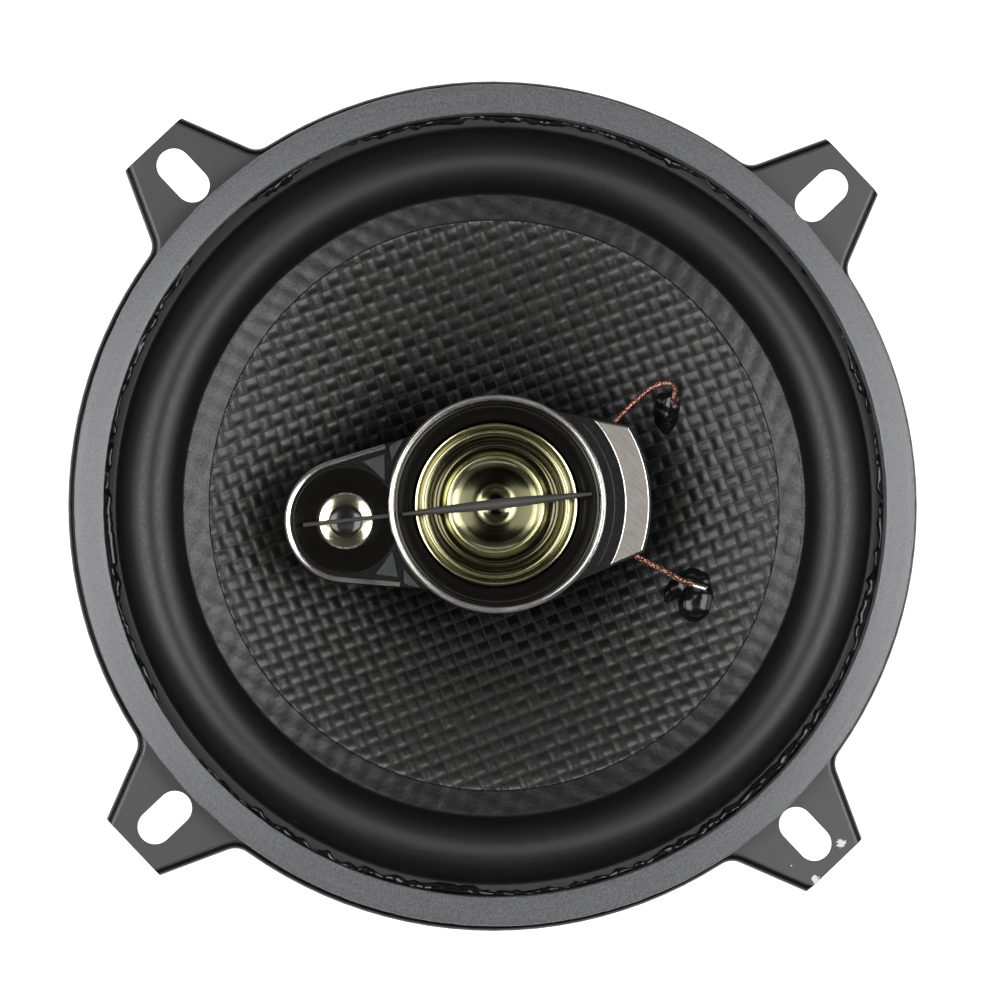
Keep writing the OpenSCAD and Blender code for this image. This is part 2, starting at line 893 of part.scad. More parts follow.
// A ridge, a valley and the centre dome, as one formed film
module tweeter_diaphragm() {
  dome_h = 2.1;
  dome_arc = (dome_r * dome_r + dome_h * dome_h) / (2 * dome_h);
  dome_a = 2 * atan(dome_h / dome_r);
  path = concat(
    [for (i = [0:8])
      let (a = dome_a * i / 8)
      [dome_arc * sin(a), film_z + dome_h - 0.6 - dome_arc * (1 - cos(a))]],
    bent([
      [dome_r + 0.3, film_z - 0.7], [dome_r + 1.6, film_z - 0.3, 0.4], [dome_r + 2.4, film_z + 0.5, 0.4],
      [dome_r + 3.6, film_z + 0.5, 0.6], [dome_r + 4.6, film_z, 0.4], [tweeter_r, film_z + 0.1]
    ])
  );
  color([0.8, 0.72, 0.35])
    rotate_extrude()
      polygon(concat(
        [for (p = path) p + [0, film_t / 2]],
        [for (p = reversed(path)) p - [0, film_t / 2]]
      ));
}

module tweeter_coil() {
  color([0.72, 0.38, 0.22])
    tube(dome_r + tweeter_coil_t - 0.1, dome_r - 0.1, film_z - 3.2, film_z - 0.7 - film_t);
}

module tweeter_capacitor() {
  color([0.2, 0.24, 0.3])
    in_pod()
      translate([(pocket_x0 + pocket_x1) / 2, capacitor_l / 2, small_bottom + pocket_h / 2])
        rotate([90, 0, 0])
          cylinder(r = capacitor_r, h = capacitor_l);
}

// ---- Super tweeter ----

module in_small_pod() {
  in_pod()
    translate([-small_x, 0, 0])
      children();
}

// The funnel is cut short where it meets the main pod and its bright ring
module super_tweeter_horn() {
  throat_r = super_r + run_gap;
  lip_r = small_r - trim_w - 0.1;
  color([0.1, 0.1, 0.1])
    difference() {
      in_small_pod()
        rotate_extrude()
          polygon([
            [throat_r, super_film_z - 1], [small_cavity_r - fit, super_film_z - 1],
            [small_cavity_r - fit, pod_top + glue], [lip_r, pod_top + glue], [lip_r, pod_top + super_lip_h],
            [small_cavity_r - 0.2, pod_top + super_lip_h], [throat_r, super_film_z]
          ]);
      disc(ring_r + 0.05, pod_bottom, pod_top + 2);
    }
}

module super_tweeter_bar() {
  color([0.35, 0.35, 0.34])
    in_small_pod()
      translate([-super_bar_half, -super_bar_w / 2, pod_top + super_lip_h - super_bar_h])
        cube([2 * super_bar_half, super_bar_w, super_bar_h]);
}

module super_tweeter_diaphragm() {
  color([0.8, 0.72, 0.35])
    in_small_pod()
      rotate_extrude()
        polygon([
          [0.8, piezo_z + piezo_t + glue], [1.4, piezo_z + piezo_t + glue],
          [super_dome_r, super_film_z - 0.9],
          [super_r, super_film_z], [super_r - 0.1, super_film_z + 0.2],
          [super_dome_r, super_film_z - 0.6], [1.1, piezo_z + piezo_t + 0.4], [0.8, piezo_z + piezo_t + 0.4]
        ]);
}

module super_tweeter_dome() {
  h = 0.9;
  arc = (super_dome_r * super_dome_r + h * h) / (2 * h);
  z = super_film_z - 0.6 + glue;
  color([0.12, 0.12, 0.1])
    in_small_pod()
      intersection() {
        translate([0, 0, z + h - arc])
          sphere(r = arc);
        disc(super_dome_r, z, z + 2);
      }
}

module piezo_disc() {
  color([0.75, 0.65, 0.35])
    in_small_pod()
      disc(piezo_r, piezo_z, piezo_z + piezo_t);
}

// ---- Terminals ----

module terminal_board() {
  color([0.25, 0.16, 0.1])
    on_leg()
      difference() {
        translate([-board_w / 2, -board_l / 2, -board_t - board_gap])
          cube([board_w, board_l, board_t]);
        translate([0, 0, -3])
          cylinder(r = rivet_r + fit, h = 5);
        for (s = [-1, 1])
          translate([0, s * eyelet_y, -3])
            cylinder(r = eyelet_r + fit, h = 5);
      }
}

// A foot on the board and a blade that stands out from it; side is 1 or -1
module terminal(side, blade_w) {
  back = -board_t - board_gap - glue;
  foot_l = board_l / 2 - foot_y0;
  on_leg()
    difference() {
      union() {
        translate([-2.5, side > 0 ? foot_y0 : -foot_y0 - foot_l, back - foot_t])
          cube([5, foot_l, foot_t]);
        translate([-blade_w / 2, side > 0 ? foot_y0 : -foot_y0 - foot_t, back - foot_t - blade_l])
          cube([blade_w, foot_t, blade_l + foot_t]);
      }
      translate([0, side * eyelet_y, -5])
        cylinder(r = eyelet_r + fit, h = 6);
    }
}

module terminal_positive() {
  color([0.8, 0.8, 0.78])
    terminal(1, blade_wide);
}

module terminal_negative() {
  color([0.8, 0.8, 0.78])
    terminal(-1, blade_narrow);
}

module terminal_eyelets() {
  back = -board_t - board_gap - glue - foot_t - fit;
  color([0.8, 0.8, 0.78])
    on_leg()
      for (s = [-1, 1])
        translate([0, s * eyelet_y, 0])
          union() {
            disc(eyelet_r, back - 0.4, fit + 0.4);
            disc(eyelet_r + 0.6, back - 0.4, back);
            disc(eyelet_r + 0.6, fit, fit + 0.4);
          }
}

module terminal_rivet() {
  back = -board_t - board_gap - fit;
  color([0.6, 0.6, 0.58])
    on_leg()
      union() {
        disc(rivet_r, back - 0.6, sheet_t + 0.8);
        disc(rivet_r + 1, back - 0.6, back);
        disc(rivet_r + 1, sheet_t + 0.15, sheet_t + 0.8);
      }
}

module tinsel(side) {
  on_leg()
    lead([for (p = tinsel_route) [p[0], side * p[1], p[2]]], tinsel_r, 2);
}

module tinsel_lead_positive() {
  color([0.75, 0.45, 0.3])
    tinsel(1);
}

module tinsel_lead_negative() {
  color([0.75, 0.45, 0.3])
    tinsel(-1);
}

basket();
gasket();
surround();
spider();
top_plate();
magnet();
t_yoke();
basket_rivets();
cone();
voice_coil_former();
voice_coil();
dust_filter();
lead_glue_upper();
lead_glue_lower();
pod_post();
pod_screw();
pod_back_cover();
pod_housing();
pod_trim_ring();
pod_trim_small();
badge_plate();
pod_solder_tags();
front_lead_upper();
front_lead_lower();
tweeter_waveguide();
tweeter_bar();
tweeter_yoke();
tweeter_magnet();
tweeter_pole_plate();
tweeter_diaphragm();
tweeter_coil();
tweeter_capacitor();
super_tweeter_horn();
super_tweeter_bar();
super_tweeter_diaphragm();
super_tweeter_dome();
piezo_disc();
terminal_board();
terminal_positive();
terminal_negative();
terminal_eyelets();
terminal_rivet();
tinsel_lead_positive();
tinsel_lead_negative();
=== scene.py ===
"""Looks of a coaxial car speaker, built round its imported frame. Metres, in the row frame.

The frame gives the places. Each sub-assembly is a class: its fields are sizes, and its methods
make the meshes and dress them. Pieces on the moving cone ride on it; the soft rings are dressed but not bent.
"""

from __future__ import annotations

import json
import logging
import math
from dataclasses import dataclass, field
from enum import Enum
from typing import Callable, Sequence

import bpy
import numpy as np
from mathutils import Matrix, Vector, noise

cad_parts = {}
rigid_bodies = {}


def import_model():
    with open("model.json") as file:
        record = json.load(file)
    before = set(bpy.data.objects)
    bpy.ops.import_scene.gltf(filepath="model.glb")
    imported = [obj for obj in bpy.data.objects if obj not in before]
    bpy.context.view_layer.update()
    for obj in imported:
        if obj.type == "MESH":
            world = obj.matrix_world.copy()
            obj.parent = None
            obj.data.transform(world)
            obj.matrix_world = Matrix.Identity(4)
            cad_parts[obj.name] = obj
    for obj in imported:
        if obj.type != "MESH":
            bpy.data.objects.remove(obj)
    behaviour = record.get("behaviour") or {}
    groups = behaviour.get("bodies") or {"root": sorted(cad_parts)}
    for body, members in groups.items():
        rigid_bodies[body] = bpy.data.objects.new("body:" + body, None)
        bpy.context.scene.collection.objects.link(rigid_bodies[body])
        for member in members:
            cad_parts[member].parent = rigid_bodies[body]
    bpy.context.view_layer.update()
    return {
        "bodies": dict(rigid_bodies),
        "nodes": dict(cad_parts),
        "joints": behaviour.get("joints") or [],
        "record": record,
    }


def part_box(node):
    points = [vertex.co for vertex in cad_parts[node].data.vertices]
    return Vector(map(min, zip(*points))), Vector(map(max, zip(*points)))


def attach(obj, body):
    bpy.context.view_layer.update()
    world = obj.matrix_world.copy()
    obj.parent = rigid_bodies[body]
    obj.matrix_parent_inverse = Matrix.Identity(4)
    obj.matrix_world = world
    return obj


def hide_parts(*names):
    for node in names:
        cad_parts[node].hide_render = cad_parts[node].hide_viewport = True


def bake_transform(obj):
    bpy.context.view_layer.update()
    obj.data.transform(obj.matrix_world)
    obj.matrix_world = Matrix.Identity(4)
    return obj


LOG = logging.getLogger("speaker")
MM = 0.001
Point = tuple[float, float]
Point3 = tuple[float, float, float]
Socket = bpy.types.NodeSocket
Obj = bpy.types.Object
Weight = Callable[[np.ndarray], np.ndarray]


class Body(Enum):
    """The CAD bodies that a piece can ride on."""

    FRAME = "frame"
    CONE = "cone_assembly"
    TWEETER = "tweeter_moving"
    SUPER = "super_tweeter_moving"


# ---------------------------------------------------------------- materials


class Graph:
    """A material's node tree, with short calls for the nodes that the finishes share."""

    def __init__(self, name: str) -> None:
        """Starts a material of that name with one Principled shader."""
        self.material = bpy.data.materials.new(name)
        self.material.use_nodes = True
        self.tree = self.material.node_tree
        self.shader = self.tree.nodes["Principled BSDF"]

    def node(self, kind: str, *inputs: object, **values: object) -> bpy.types.Node:
        """Adds a node, sets its properties and feeds its first inputs."""
        made = self.tree.nodes.new(kind)
        for key, value in values.items():
            setattr(made, key, value)
        for value, socket in zip(inputs, made.inputs):
            self.feed(value, socket)
        return made

    def feed(self, value: object, socket: Socket) -> None:
        """Links value to the socket if it is a socket, or else sets it there."""
        if isinstance(value, bpy.types.NodeSocket):
            self.tree.links.new(value, socket)
        else:
            socket.default_value = value

    def set(self, **values: object) -> None:
        """Sets shader inputs; an underscore in a name stands for a space."""
        for key, value in values.items():
            self.feed(value, self.shader.inputs[key.replace("_", " ")])

    def math(self, operation: str, a: object, b: object = 0.0, c: object = 0.0) -> Socket:
        """One Math node's output."""
        return self.node("ShaderNodeMath", a, b, c, operation=operation).outputs[0]

    def times(self, a: object, b: object) -> Socket:
        """The product of a and b."""
        return self.math("MULTIPLY", a, b)

    def blend(self, a: object, share_a: float, b: object, share_b: float) -> Socket:
        """The sum of a share of a and a share of b."""
        return self.math("MULTIPLY_ADD", a, share_a, self.times(b, share_b))

    def length(self, x: Socket, y: Socket) -> Socket:
        """Distance of a point from the middle."""
        return self.math("SQRT", self.math("MULTIPLY_ADD", x, x, self.times(y, y)))

    def place(self, turn: float = 0.0, scale: Point3 = (1, 1, 1), at: Point3 = (0, 0, 0)) -> Socket:
        """Object coordinates moved by at, turned about Z and scaled.

        Args:
            turn: angle in degrees about Z.
            scale: how much each axis is stretched.
            at: the point that becomes the pattern's centre.

        Returns:
            The vector socket.
        """
        coords = self.node("ShaderNodeTexCoord").outputs["Object"]
        moved = self.node("ShaderNodeVectorMath", coords, at, operation="SUBTRACT").outputs[0]
        turned = self.node("ShaderNodeMapping", moved)
        turned.inputs["Rotation"].default_value = (0, 0, math.radians(turn))
        turned.inputs["Scale"].default_value = scale
        return turned.outputs[0]

    def split(self, vector: Socket) -> tuple[Socket, ...]:
        """The three parts of a vector."""
        return tuple(self.node("ShaderNodeSeparateXYZ", vector).outputs)

    def join(self, *parts: object) -> Socket:
        """A vector of up to three parts."""
        return self.node("ShaderNodeCombineXYZ", *parts).outputs[0]

    def radius(self) -> Socket:
        """Distance from the speaker's axis, in millimetres."""
        x, y, _ = self.split(self.place())
        return self.times(self.length(x, y), 1 / MM)

    def noise(self, scale: float, detail: float = 2.0, vector: Socket | None = None) -> Socket:
        """A noise texture's factor on object coordinates, or on the vector given."""
        made = self.node("ShaderNodeTexNoise", vector or self.place())
        made.inputs["Scale"].default_value = scale
        made.inputs["Detail"].default_value = detail
        return made.outputs["Fac"]

    def fit(self, value: Socket, *ends: float) -> Socket:
        """Maps one range smoothly and clamped onto another, or onto 0..1; ends gives their low and high."""
        made = self.node("ShaderNodeMapRange", value, *ends, interpolation_type="SMOOTHSTEP")
        return made.outputs[0]

    def mix(self, factor: object, a: object, b: object) -> Socket:
        """Mixes two colours."""
        made = self.node("ShaderNodeMix", factor, data_type="RGBA")
        for item, index in ((a, 6), (b, 7)):
            self.feed((*item, 1.0) if isinstance(item, tuple) else item, made.inputs[index])
        return made.outputs[2]

    def bump(self, height: Socket, depth: float, under: Socket | None = None) -> Socket:
        """A bump from height, depth metres high, over an earlier normal if one is given."""
        made = self.node("ShaderNodeBump")
        self.feed(height, made.inputs["Height"])
        made.inputs["Distance"].default_value = depth
        made.inputs["Strength"].default_value = 1.0
        if under:
            self.feed(under, made.inputs["Normal"])
        return made.outputs[0]


@dataclass(frozen=True)
class Finish:
    """A plain finish with fine mottling in its colour, its roughness and its surface."""

    name: str
    color: Point3
    rough: float = 0.5
    metal: float = 0.0
    mottle: float = 0.25
    grain: float = 1500.0
    relief: float = 0.01 * MM
    specular: float = 0.5
    coat: float = 0.0
    made: dict = field(default_factory=dict, compare=False, repr=False)

    def material(self) -> bpy.types.Material:
        """The finish's one material, made when it is first asked for."""
        if "material" not in self.made:
            g = Graph(self.name)
            g.set(Metallic=self.metal, Specular_IOR_Level=self.specular, Coat_Weight=self.coat)
            self.paint(g, g.noise(self.grain, 3))
            self.made["material"] = g.material
        return self.made["material"]

    def dress(self, *pieces: Obj) -> None:
        """Puts this finish on pieces as their only material."""
        for piece in pieces:
            piece.data.materials.clear()
            piece.data.materials.append(self.material())

    def add_to(self, piece: Obj, low: float, high: float) -> None:
        """Puts this finish on the faces that look up at a slant, from low to high in their normal's z."""
        piece.data.materials.append(self.material())
        for face in piece.data.polygons:
            if low < face.normal.z < high:
                face.material_index = 1

    def shade(self, factor: float) -> Point3:
        """This finish's colour, made lighter or darker."""
        return tuple(min(1.0, c * factor) for c in self.color)

    def mottled(self, g: Graph, patch: Socket) -> Socket:
        """The colour, lighter and darker in patches."""
        return g.mix(patch, self.shade(1 - self.mottle), self.shade(1 + self.mottle))

    def paint(self, g: Graph, grain: Socket) -> None:
        """Wires the pattern into the shader, from the finish's fine grain."""
        g.set(
            Base_Color=self.mottled(g, g.noise(self.grain / 14, 4)),
            Roughness=g.fit(grain, 0.3, 0.7, self.rough * 0.85, min(1.0, self.rough * 1.2)),
            Normal=g.bump(grain, self.relief),
        )


@dataclass(frozen=True)
class EarPaint(Finish):
    """Satin black paint on pressed steel, with chips down to the metal; a chip is x, y and size."""

    chips: tuple[Point3, ...] = ()
    steel: Point3 = (0.82, 0.81, 0.8)

    def paint(self, g: Graph, grain: Socket) -> None:
        """Wires the paint, and the bare steel where it is chipped."""
        ragged = g.noise(2200, 3)
        bare: Socket | float = 0.0
        for x, y, size in self.chips:
            px, py, _ = g.split(g.place(at=(x, y, 0)))
            edge = g.math("MULTIPLY_ADD", ragged, size * 1.5, g.length(px, py))
            bare = g.math("MAXIMUM", bare, g.math("LESS_THAN", edge, size * 1.25))
        cloud = g.noise(90, 4)
        g.set(
            Base_Color=g.mix(bare, g.mix(cloud, self.shade(0.8), self.shade(1.25)), self.steel),
            Roughness=g.fit(g.blend(grain, 0.5, cloud, 0.5), 0.3, 0.7,
                            self.rough * 0.9, self.rough * 1.12),
            Normal=g.bump(g.math("SUBTRACT", g.noise(700, 2), g.times(bare, 0.8)), self.relief),
        )


@dataclass(frozen=True)
class GasketFibre(Finish):
    """Grey board cut in a ring: grains, faint rings of fibre from the cutting, and short pits."""

    def paint(self, g: Graph, grain: Socket) -> None:
        """Wires the grains, the rings and the pits."""
        x, y, z = g.split(g.place())
        around = g.times(g.math("ARCTAN2", y, x), 5.0)
        streak = g.noise(1.0, 4, g.join(g.times(g.radius(), 7.5), around, g.times(z, 2600.0)))
        pit = g.fit(g.noise(1500, 3), 0.24, 0.36)
        tone = g.blend(streak, 0.3, grain, 0.7)
        ring = g.node("ShaderNodeTangent", direction_type="RADIAL", axis="Z")
        g.set(
            Anisotropic=0.85,
            Anisotropic_Rotation=0.25,
            Tangent=ring.outputs[0],
            Base_Color=g.mix(g.times(g.fit(tone, 0.32, 0.68), pit), self.shade(0.7), self.shade(1.2)),
            Roughness=g.fit(grain, 0.3, 0.7, self.rough * 0.75, self.rough * 1.1),
            Normal=g.bump(g.times(tone, pit), self.relief),
        )


@dataclass(frozen=True)
class Weave:
    """How the cone's cloth lies: pitches of its two yarns and the turn of the first one."""

    pitch_u: float = 1.93 * MM
    pitch_v: float = 2.1 * MM
    turn: float = math.radians(-22.5)

    def relief(self, u: np.ndarray, v: np.ndarray) -> np.ndarray:
        """Height of the cloth's surface, 0 in the hollows and 1 on a yarn's crown."""
        weft = (np.floor(u) + np.floor(v)) % 2 < 0.5
        s, t = 2 * (u % 1) - 1, 2 * (v % 1) - 1
        across, along = np.where(weft, t, s), np.where(weft, s, t)
        return (1 - 0.5 * across**4) * (1 - 0.85 * along**2)


@dataclass(frozen=True)
class WovenCone(Finish):
    """Black plain-woven cloth set in resin; the pattern follows the yarn counts in the UV map. Towards the
    middle the colour fades to black as a painted shadow of the pod.
    """

    threads: int = 7
    # Radii in mm between which the painted pod shadow fades from black to none.
    pod_shadow_start_mm: float = 17.0
    pod_shadow_end_mm: float = 33.0

    def paint(self, g: Graph, grain: Socket) -> None:
        """Wires the yarns, their threads and the hollows between them, with painted shade in the hollows."""
        uv = g.node("ShaderNodeUVMap", uv_map="UVMap").outputs[0]
        u, v, _ = g.split(uv)
        cell_u, cell_v = g.math("FLOOR", u), g.math("FLOOR", v)
        warp = g.math("FLOORED_MODULO", g.math("ADD", cell_u, cell_v), 2.0)
        part_u, part_v = g.math("FRACT", u), g.math("FRACT", v)
        weft = g.math("SUBTRACT", 1.0, warp)
        across = g.blend(part_u, warp, part_v, weft)
        along = g.blend(part_v, warp, part_u, weft)
        chance = g.node("ShaderNodeTexWhiteNoise", g.join(cell_u, cell_v), noise_dimensions="3D")
        wander = g.times(g.noise(2.2, 2, uv), 0.5)
        thread = g.math("SINE", g.times(g.math("ADD", across, wander), 2 * math.pi * self.threads))
        thread = g.math("MULTIPLY_ADD", thread, 0.5, 0.5)
        edge, tip = (g.math("ABSOLUTE", g.math("MULTIPLY_ADD", part, 2.0, -1.0))
                     for part in (across, along))
        # Mask of the hollows between the yarns: the colour is darkened there as painted shade, and the
        # surface is rougher.
        painted_hollow_shade = g.math("MAXIMUM", g.fit(edge, 0.86, 1.0), g.fit(tip, 0.8, 1.0))
        # Upright (warp) yarns are painted a little lighter than the cross (weft) yarns: a painted sheen from
        # the side lights, added to the random tone and the threads.
        tone = g.math("MULTIPLY_ADD", chance.outputs["Value"], 0.45, g.blend(thread, 0.2, warp, 0.12))
        # Painted shadow of the pod: the colour fades to black towards the middle, between the two radii
        # above.
        painted_pod_shadow = g.fit(g.radius(), self.pod_shadow_start_mm, self.pod_shadow_end_mm, 0.1, 1.0)
        color = g.mix(painted_pod_shadow, (0, 0, 0), g.mix(tone, self.shade(0.55), self.shade(1.8)))
        tangent = g.node("ShaderNodeTangent", direction_type="UV_MAP", uv_map="UVMap")
        g.set(
            Anisotropic=0.6,
            Anisotropic_Rotation=g.times(weft, 0.25),
            Tangent=tangent.outputs[0],
            # Painted shade: the colour darkens in the hollows between the yarns.
            Base_Color=g.mix(g.times(painted_hollow_shade, 0.6), color, self.shade(0.25)),
            Roughness=g.fit(g.blend(painted_hollow_shade, 0.6, grain, 0.4), 0.1, 0.9, self.rough, 0.8),
            Normal=g.bump(g.blend(thread, 0.6, grain, 0.5), self.relief),
        )


@dataclass(frozen=True)
class SurroundRubber(Finish):
    """Matte rubber, with the cloth under its inner land pressed softly through it."""

    land_mm: float = 47.4
    land_rise: float = 0.25
    press: float = 0.12 * MM
    weave: Weave = Weave()

    def paint(self, g: Graph, grain: Socket) -> None:
        """Wires the roll and, inside it, the land."""
        r = g.radius()
        on_land = g.fit(r, self.land_mm + 0.5, self.land_mm - 0.4)
        x, y, _ = g.split(g.place(turn=-math.degrees(self.weave.turn)))
        u = g.times(x, math.pi / self.weave.pitch_u)
        v = g.times(y, math.pi / self.weave.pitch_v)
        wave = g.times(g.math("SINE", u), g.math("SINE", v))
        cloud = g.noise(160, 4)
        cells = g.times(g.blend(wave, 0.3, g.noise(420, 2), 0.9), on_land)
        land = g.mix(g.blend(cells, 0.6, cloud, 0.4), self.shade(0.7), self.shade(1.6))
        body = g.mix(cloud, self.shade(0.8), self.shade(1.2))
        slope = g.times(g.math("MINIMUM", r, self.land_mm + 0.5), self.land_rise)
        skin = g.bump(grain, self.relief, g.bump(slope, 1 * MM))
        g.set(
            Base_Color=g.mix(on_land, body, land),
            Roughness=g.fit(g.math("ADD", grain, g.times(cells, 0.3)), 0.3, 0.9,
                            self.rough * 1.1, self.rough * 0.66),
            Normal=g.bump(cells, self.press, skin),
        )


@dataclass(frozen=True)
class TurnedMetal(Finish):
    """Metal with fine lines round its own centre, and faint smears."""

    center: Point = (0.0, 0.0)
    lines: float = 5200.0

    def paint(self, g: Graph, grain: Socket) -> None:
        """Wires the lines and the smears."""
        x, y, _ = g.split(g.place(at=(*self.center, 0)))
        line = g.noise(1.0, 3, g.join(g.times(g.length(x, y), self.lines)))
        smear = g.noise(260, 3)
        g.set(
            Base_Color=self.mottled(g, smear),
            Roughness=g.fit(g.blend(line, 0.5, smear, 0.5), 0.3, 0.7,
                            self.rough * 0.75, self.rough * 1.4),
            Normal=g.bump(line, self.relief, g.bump(grain, self.relief * 0.3)),
        )


@dataclass(frozen=True)
class FormedFilm(TurnedMetal):
    """Coated film whose colour changes ring by ring as painted highlight and painted shade; a ring is its
    outer radius in mm and its tone.
    """

    painted_light_rings: tuple[Point, ...] = ()

    def mottled(self, g: Graph, patch: Socket) -> Socket:
        """The colour by the distance from the middle: painted highlight and painted shade rings."""
        reach = self.painted_light_rings[-1][0]
        ramp = g.node("ShaderNodeValToRGB", g.times(g.radius(), 1 / reach))
        stops = ramp.color_ramp.elements
        for i, (outer, tone) in enumerate(self.painted_light_rings):
            stop = stops[i] if i < len(stops) else stops.new(1.0)
            stop.position = outer / reach
            stop.color = (*self.shade(tone), 1.0)
        return ramp.outputs[0]


@dataclass(frozen=True)
class Braid(Finish):
    """Fine bare wires laid over each other: painted glints between painted dark gaps."""

    def paint(self, g: Graph, grain: Socket) -> None:
        """Wires the painted glints and the painted shade of the gaps."""
        g.set(
            # Colour runs from near black to bright copper with the grain: painted glints and painted shade
            # between the wires.
            Base_Color=g.mix(g.fit(grain, 0.40, 0.62), self.shade(0.12), self.shade(1.3)),
            Roughness=g.fit(g.noise(self.grain / 3, 2), 0.3, 0.7, self.rough * 0.8, self.rough * 1.3),
            Normal=g.bump(grain, self.relief),
        )


@dataclass(frozen=True)
class BrushedPlate(Finish):
    """Satin plate brushed one way."""

    turn: float = 0.0
    hair: Point3 = (9000, 500, 9000)

    def paint(self, g: Graph, grain: Socket) -> None:
        """Wires the brushed hairs and faint patches."""
        hair = g.noise(1.0, 4, g.place(turn=self.turn, scale=self.hair))
        tone = g.blend(hair, 0.8, g.noise(420, 4), 0.2)
        g.set(
            Base_Color=g.mix(g.fit(tone, 0.3, 0.7), self.shade(0.78), self.shade(1.15)),
            Roughness=g.fit(tone, 0.25, 0.75, self.rough * 1.2, self.rough * 0.85),
            Normal=g.bump(g.blend(hair, 0.7, grain, 0.3), self.relief),
        )


PLASTIC = Finish(
    "black_plastic", (0.008, 0.0075, 0.007), 0.21, mottle=0.2, grain=2600, relief=0.006 * MM, specular=0.4,
)
ROUGH_PLASTIC = Finish(
    "textured_plastic", (0.040, 0.042, 0.045), 0.42, mottle=0.6, grain=2400, relief=0.08 * MM, specular=0.3,
)
PAINT = EarPaint(
    "black_paint", (0.03, 0.03, 0.0305), 0.4, relief=0.012 * MM, specular=0.85,
    chips=(
        (3.0 * MM, -74.0 * MM, 1.25 * MM),
        (-3.7 * MM, -75.3 * MM, 1.2 * MM),
        (-4.9 * MM, -71.2 * MM, 0.2 * MM),
    ),
)
# Darker copy of the black paint for the slanting faces of the turned-down edge: painted shade on the bend,
# not a different paint.
FOLD_PAINTED_SHADE = Finish(
    "black_paint_fold_painted_shade", (0.006, 0.006, 0.006), 0.26, mottle=0.2, grain=900, relief=0.01 * MM, specular=0.3,
)
BAR_PLASTIC = Finish("bar_plastic", (0.07, 0.069, 0.066), 0.42, mottle=0.3, grain=2400, relief=0.04 * MM)
BOARD = GasketFibre("gasket_board", (0.15, 0.151, 0.158), 0.4, grain=2600, relief=0.05 * MM, specular=0.95)
RUBBER = SurroundRubber(
    "black_rubber", (0.0085, 0.0085, 0.0085), 0.42, grain=3000, relief=0.008 * MM, specular=0.55,
)
CLOTH = WovenCone("cone_weave", (0.0150, 0.0146, 0.0137), 0.35, grain=9000, relief=0.022 * MM, specular=0.85)
CONE_BACK = Finish("cone_back", (0.018, 0.018, 0.018), 0.6, mottle=0.4, grain=1200, relief=0.03 * MM)
BRIGHT = TurnedMetal("bright_trim", (0.93, 0.91, 0.89), 0.13, 1.0, mottle=0.08, relief=0.004 * MM)
BADGE = BrushedPlate("badge_steel", (0.27, 0.25, 0.23), 0.42, 1.0, relief=0.006 * MM, turn=37.2)
# The gold's rings are painted light: bright rings where the side lights would glint, dark rings between them.
GOLD = FormedFilm(
    "gold_film", (0.66, 0.63, 0.36), 0.17, 1.0, mottle=0.12, relief=0.01 * MM, lines=1900,
    painted_light_rings=((1.4, 0.05), (1.9, 0.5), (2.8, 0.5), (3.3, 0.07), (5.5, 0.11), (6.3, 0.6), (7.7, 1.1), (8.3, 0.16),
           (9.9, 0.15), (10.7, 0.26), (11.3, 1.2), (12.5, 1.2)),
)
DARK_DOME = Finish("dark_dome", (0.012, 0.012, 0.010), 0.2, mottle=0.3, relief=0.003 * MM, coat=0.5)
GLUE = Finish("black_glue", (0.005, 0.005, 0.005), 0.14, mottle=0.4, grain=260, relief=0.05 * MM)
COPPER = Braid("copper_braid", (0.72, 0.37, 0.28), 0.32, 1.0, grain=3200, relief=0.1 * MM)
TINNED = Finish("tinned_brass", (0.70, 0.69, 0.65), 0.27, 1.0, mottle=0.18, grain=1300, relief=0.012 * MM)
WIRE = TurnedMetal("copper", (0.60, 0.25, 0.12), 0.3, 1.0, mottle=0.15, relief=0.02 * MM)
ZINC = TurnedMetal("plated_steel", (0.62, 0.61, 0.57), 0.34, 1.0, mottle=0.14, relief=0.006 * MM, lines=1800)
FERRITE = Finish("ferrite", (0.045, 0.045, 0.048), 0.55, mottle=0.35, grain=1500, relief=0.03 * MM)
FILM = Finish("former_film", (0.42, 0.17, 0.03), 0.28, mottle=0.15, relief=0.004 * MM, coat=0.4)
SPIDER = Finish("spider_cloth", (0.50, 0.34, 0.12), 0.78, mottle=0.3, grain=2600, relief=0.06 * MM)
FELT = Finish("felt", (0.02, 0.02, 0.02), 0.9, mottle=0.5, grain=2600, relief=0.1 * MM)
PHENOLIC = Finish("phenolic_board", (0.10, 0.045, 0.018), 0.42, mottle=0.35, grain=1600, relief=0.01 * MM)
SLEEVE = Finish("capacitor_sleeve", (0.02, 0.03, 0.08), 0.3, mottle=0.2, relief=0.006 * MM, coat=0.3)
NICKEL = Finish("neodymium", (0.65, 0.65, 0.64), 0.2, 1.0, mottle=0.1, relief=0.004 * MM)


# ---------------------------------------------------------------- modelling


def start_edit(select: bool = True) -> None:
    """Enters edit mode on the active object with everything or nothing selected."""
    bpy.ops.object.mode_set(mode="EDIT")
    bpy.ops.mesh.select_all(action="SELECT" if select else "DESELECT")


def end_edit() -> None:
    """Leaves edit mode."""
    bpy.ops.object.mode_set(mode="OBJECT")


def only(piece: Obj) -> Obj:
    """Makes piece the one selected and active object."""
    bpy.ops.object.select_all(action="DESELECT")
    piece.hide_set(False)
    piece.select_set(True)
    bpy.context.view_layer.objects.active = piece
    return piece


def apply_modifier(piece: Obj, kind: str, **values: object) -> None:
    """Adds a modifier, sets its properties and applies it."""
    only(piece)
    made = piece.modifiers.new(kind.lower(), kind)
    for key, value in values.items():
        setattr(made, key, value)
    bpy.ops.object.modifier_apply(modifier=made.name)


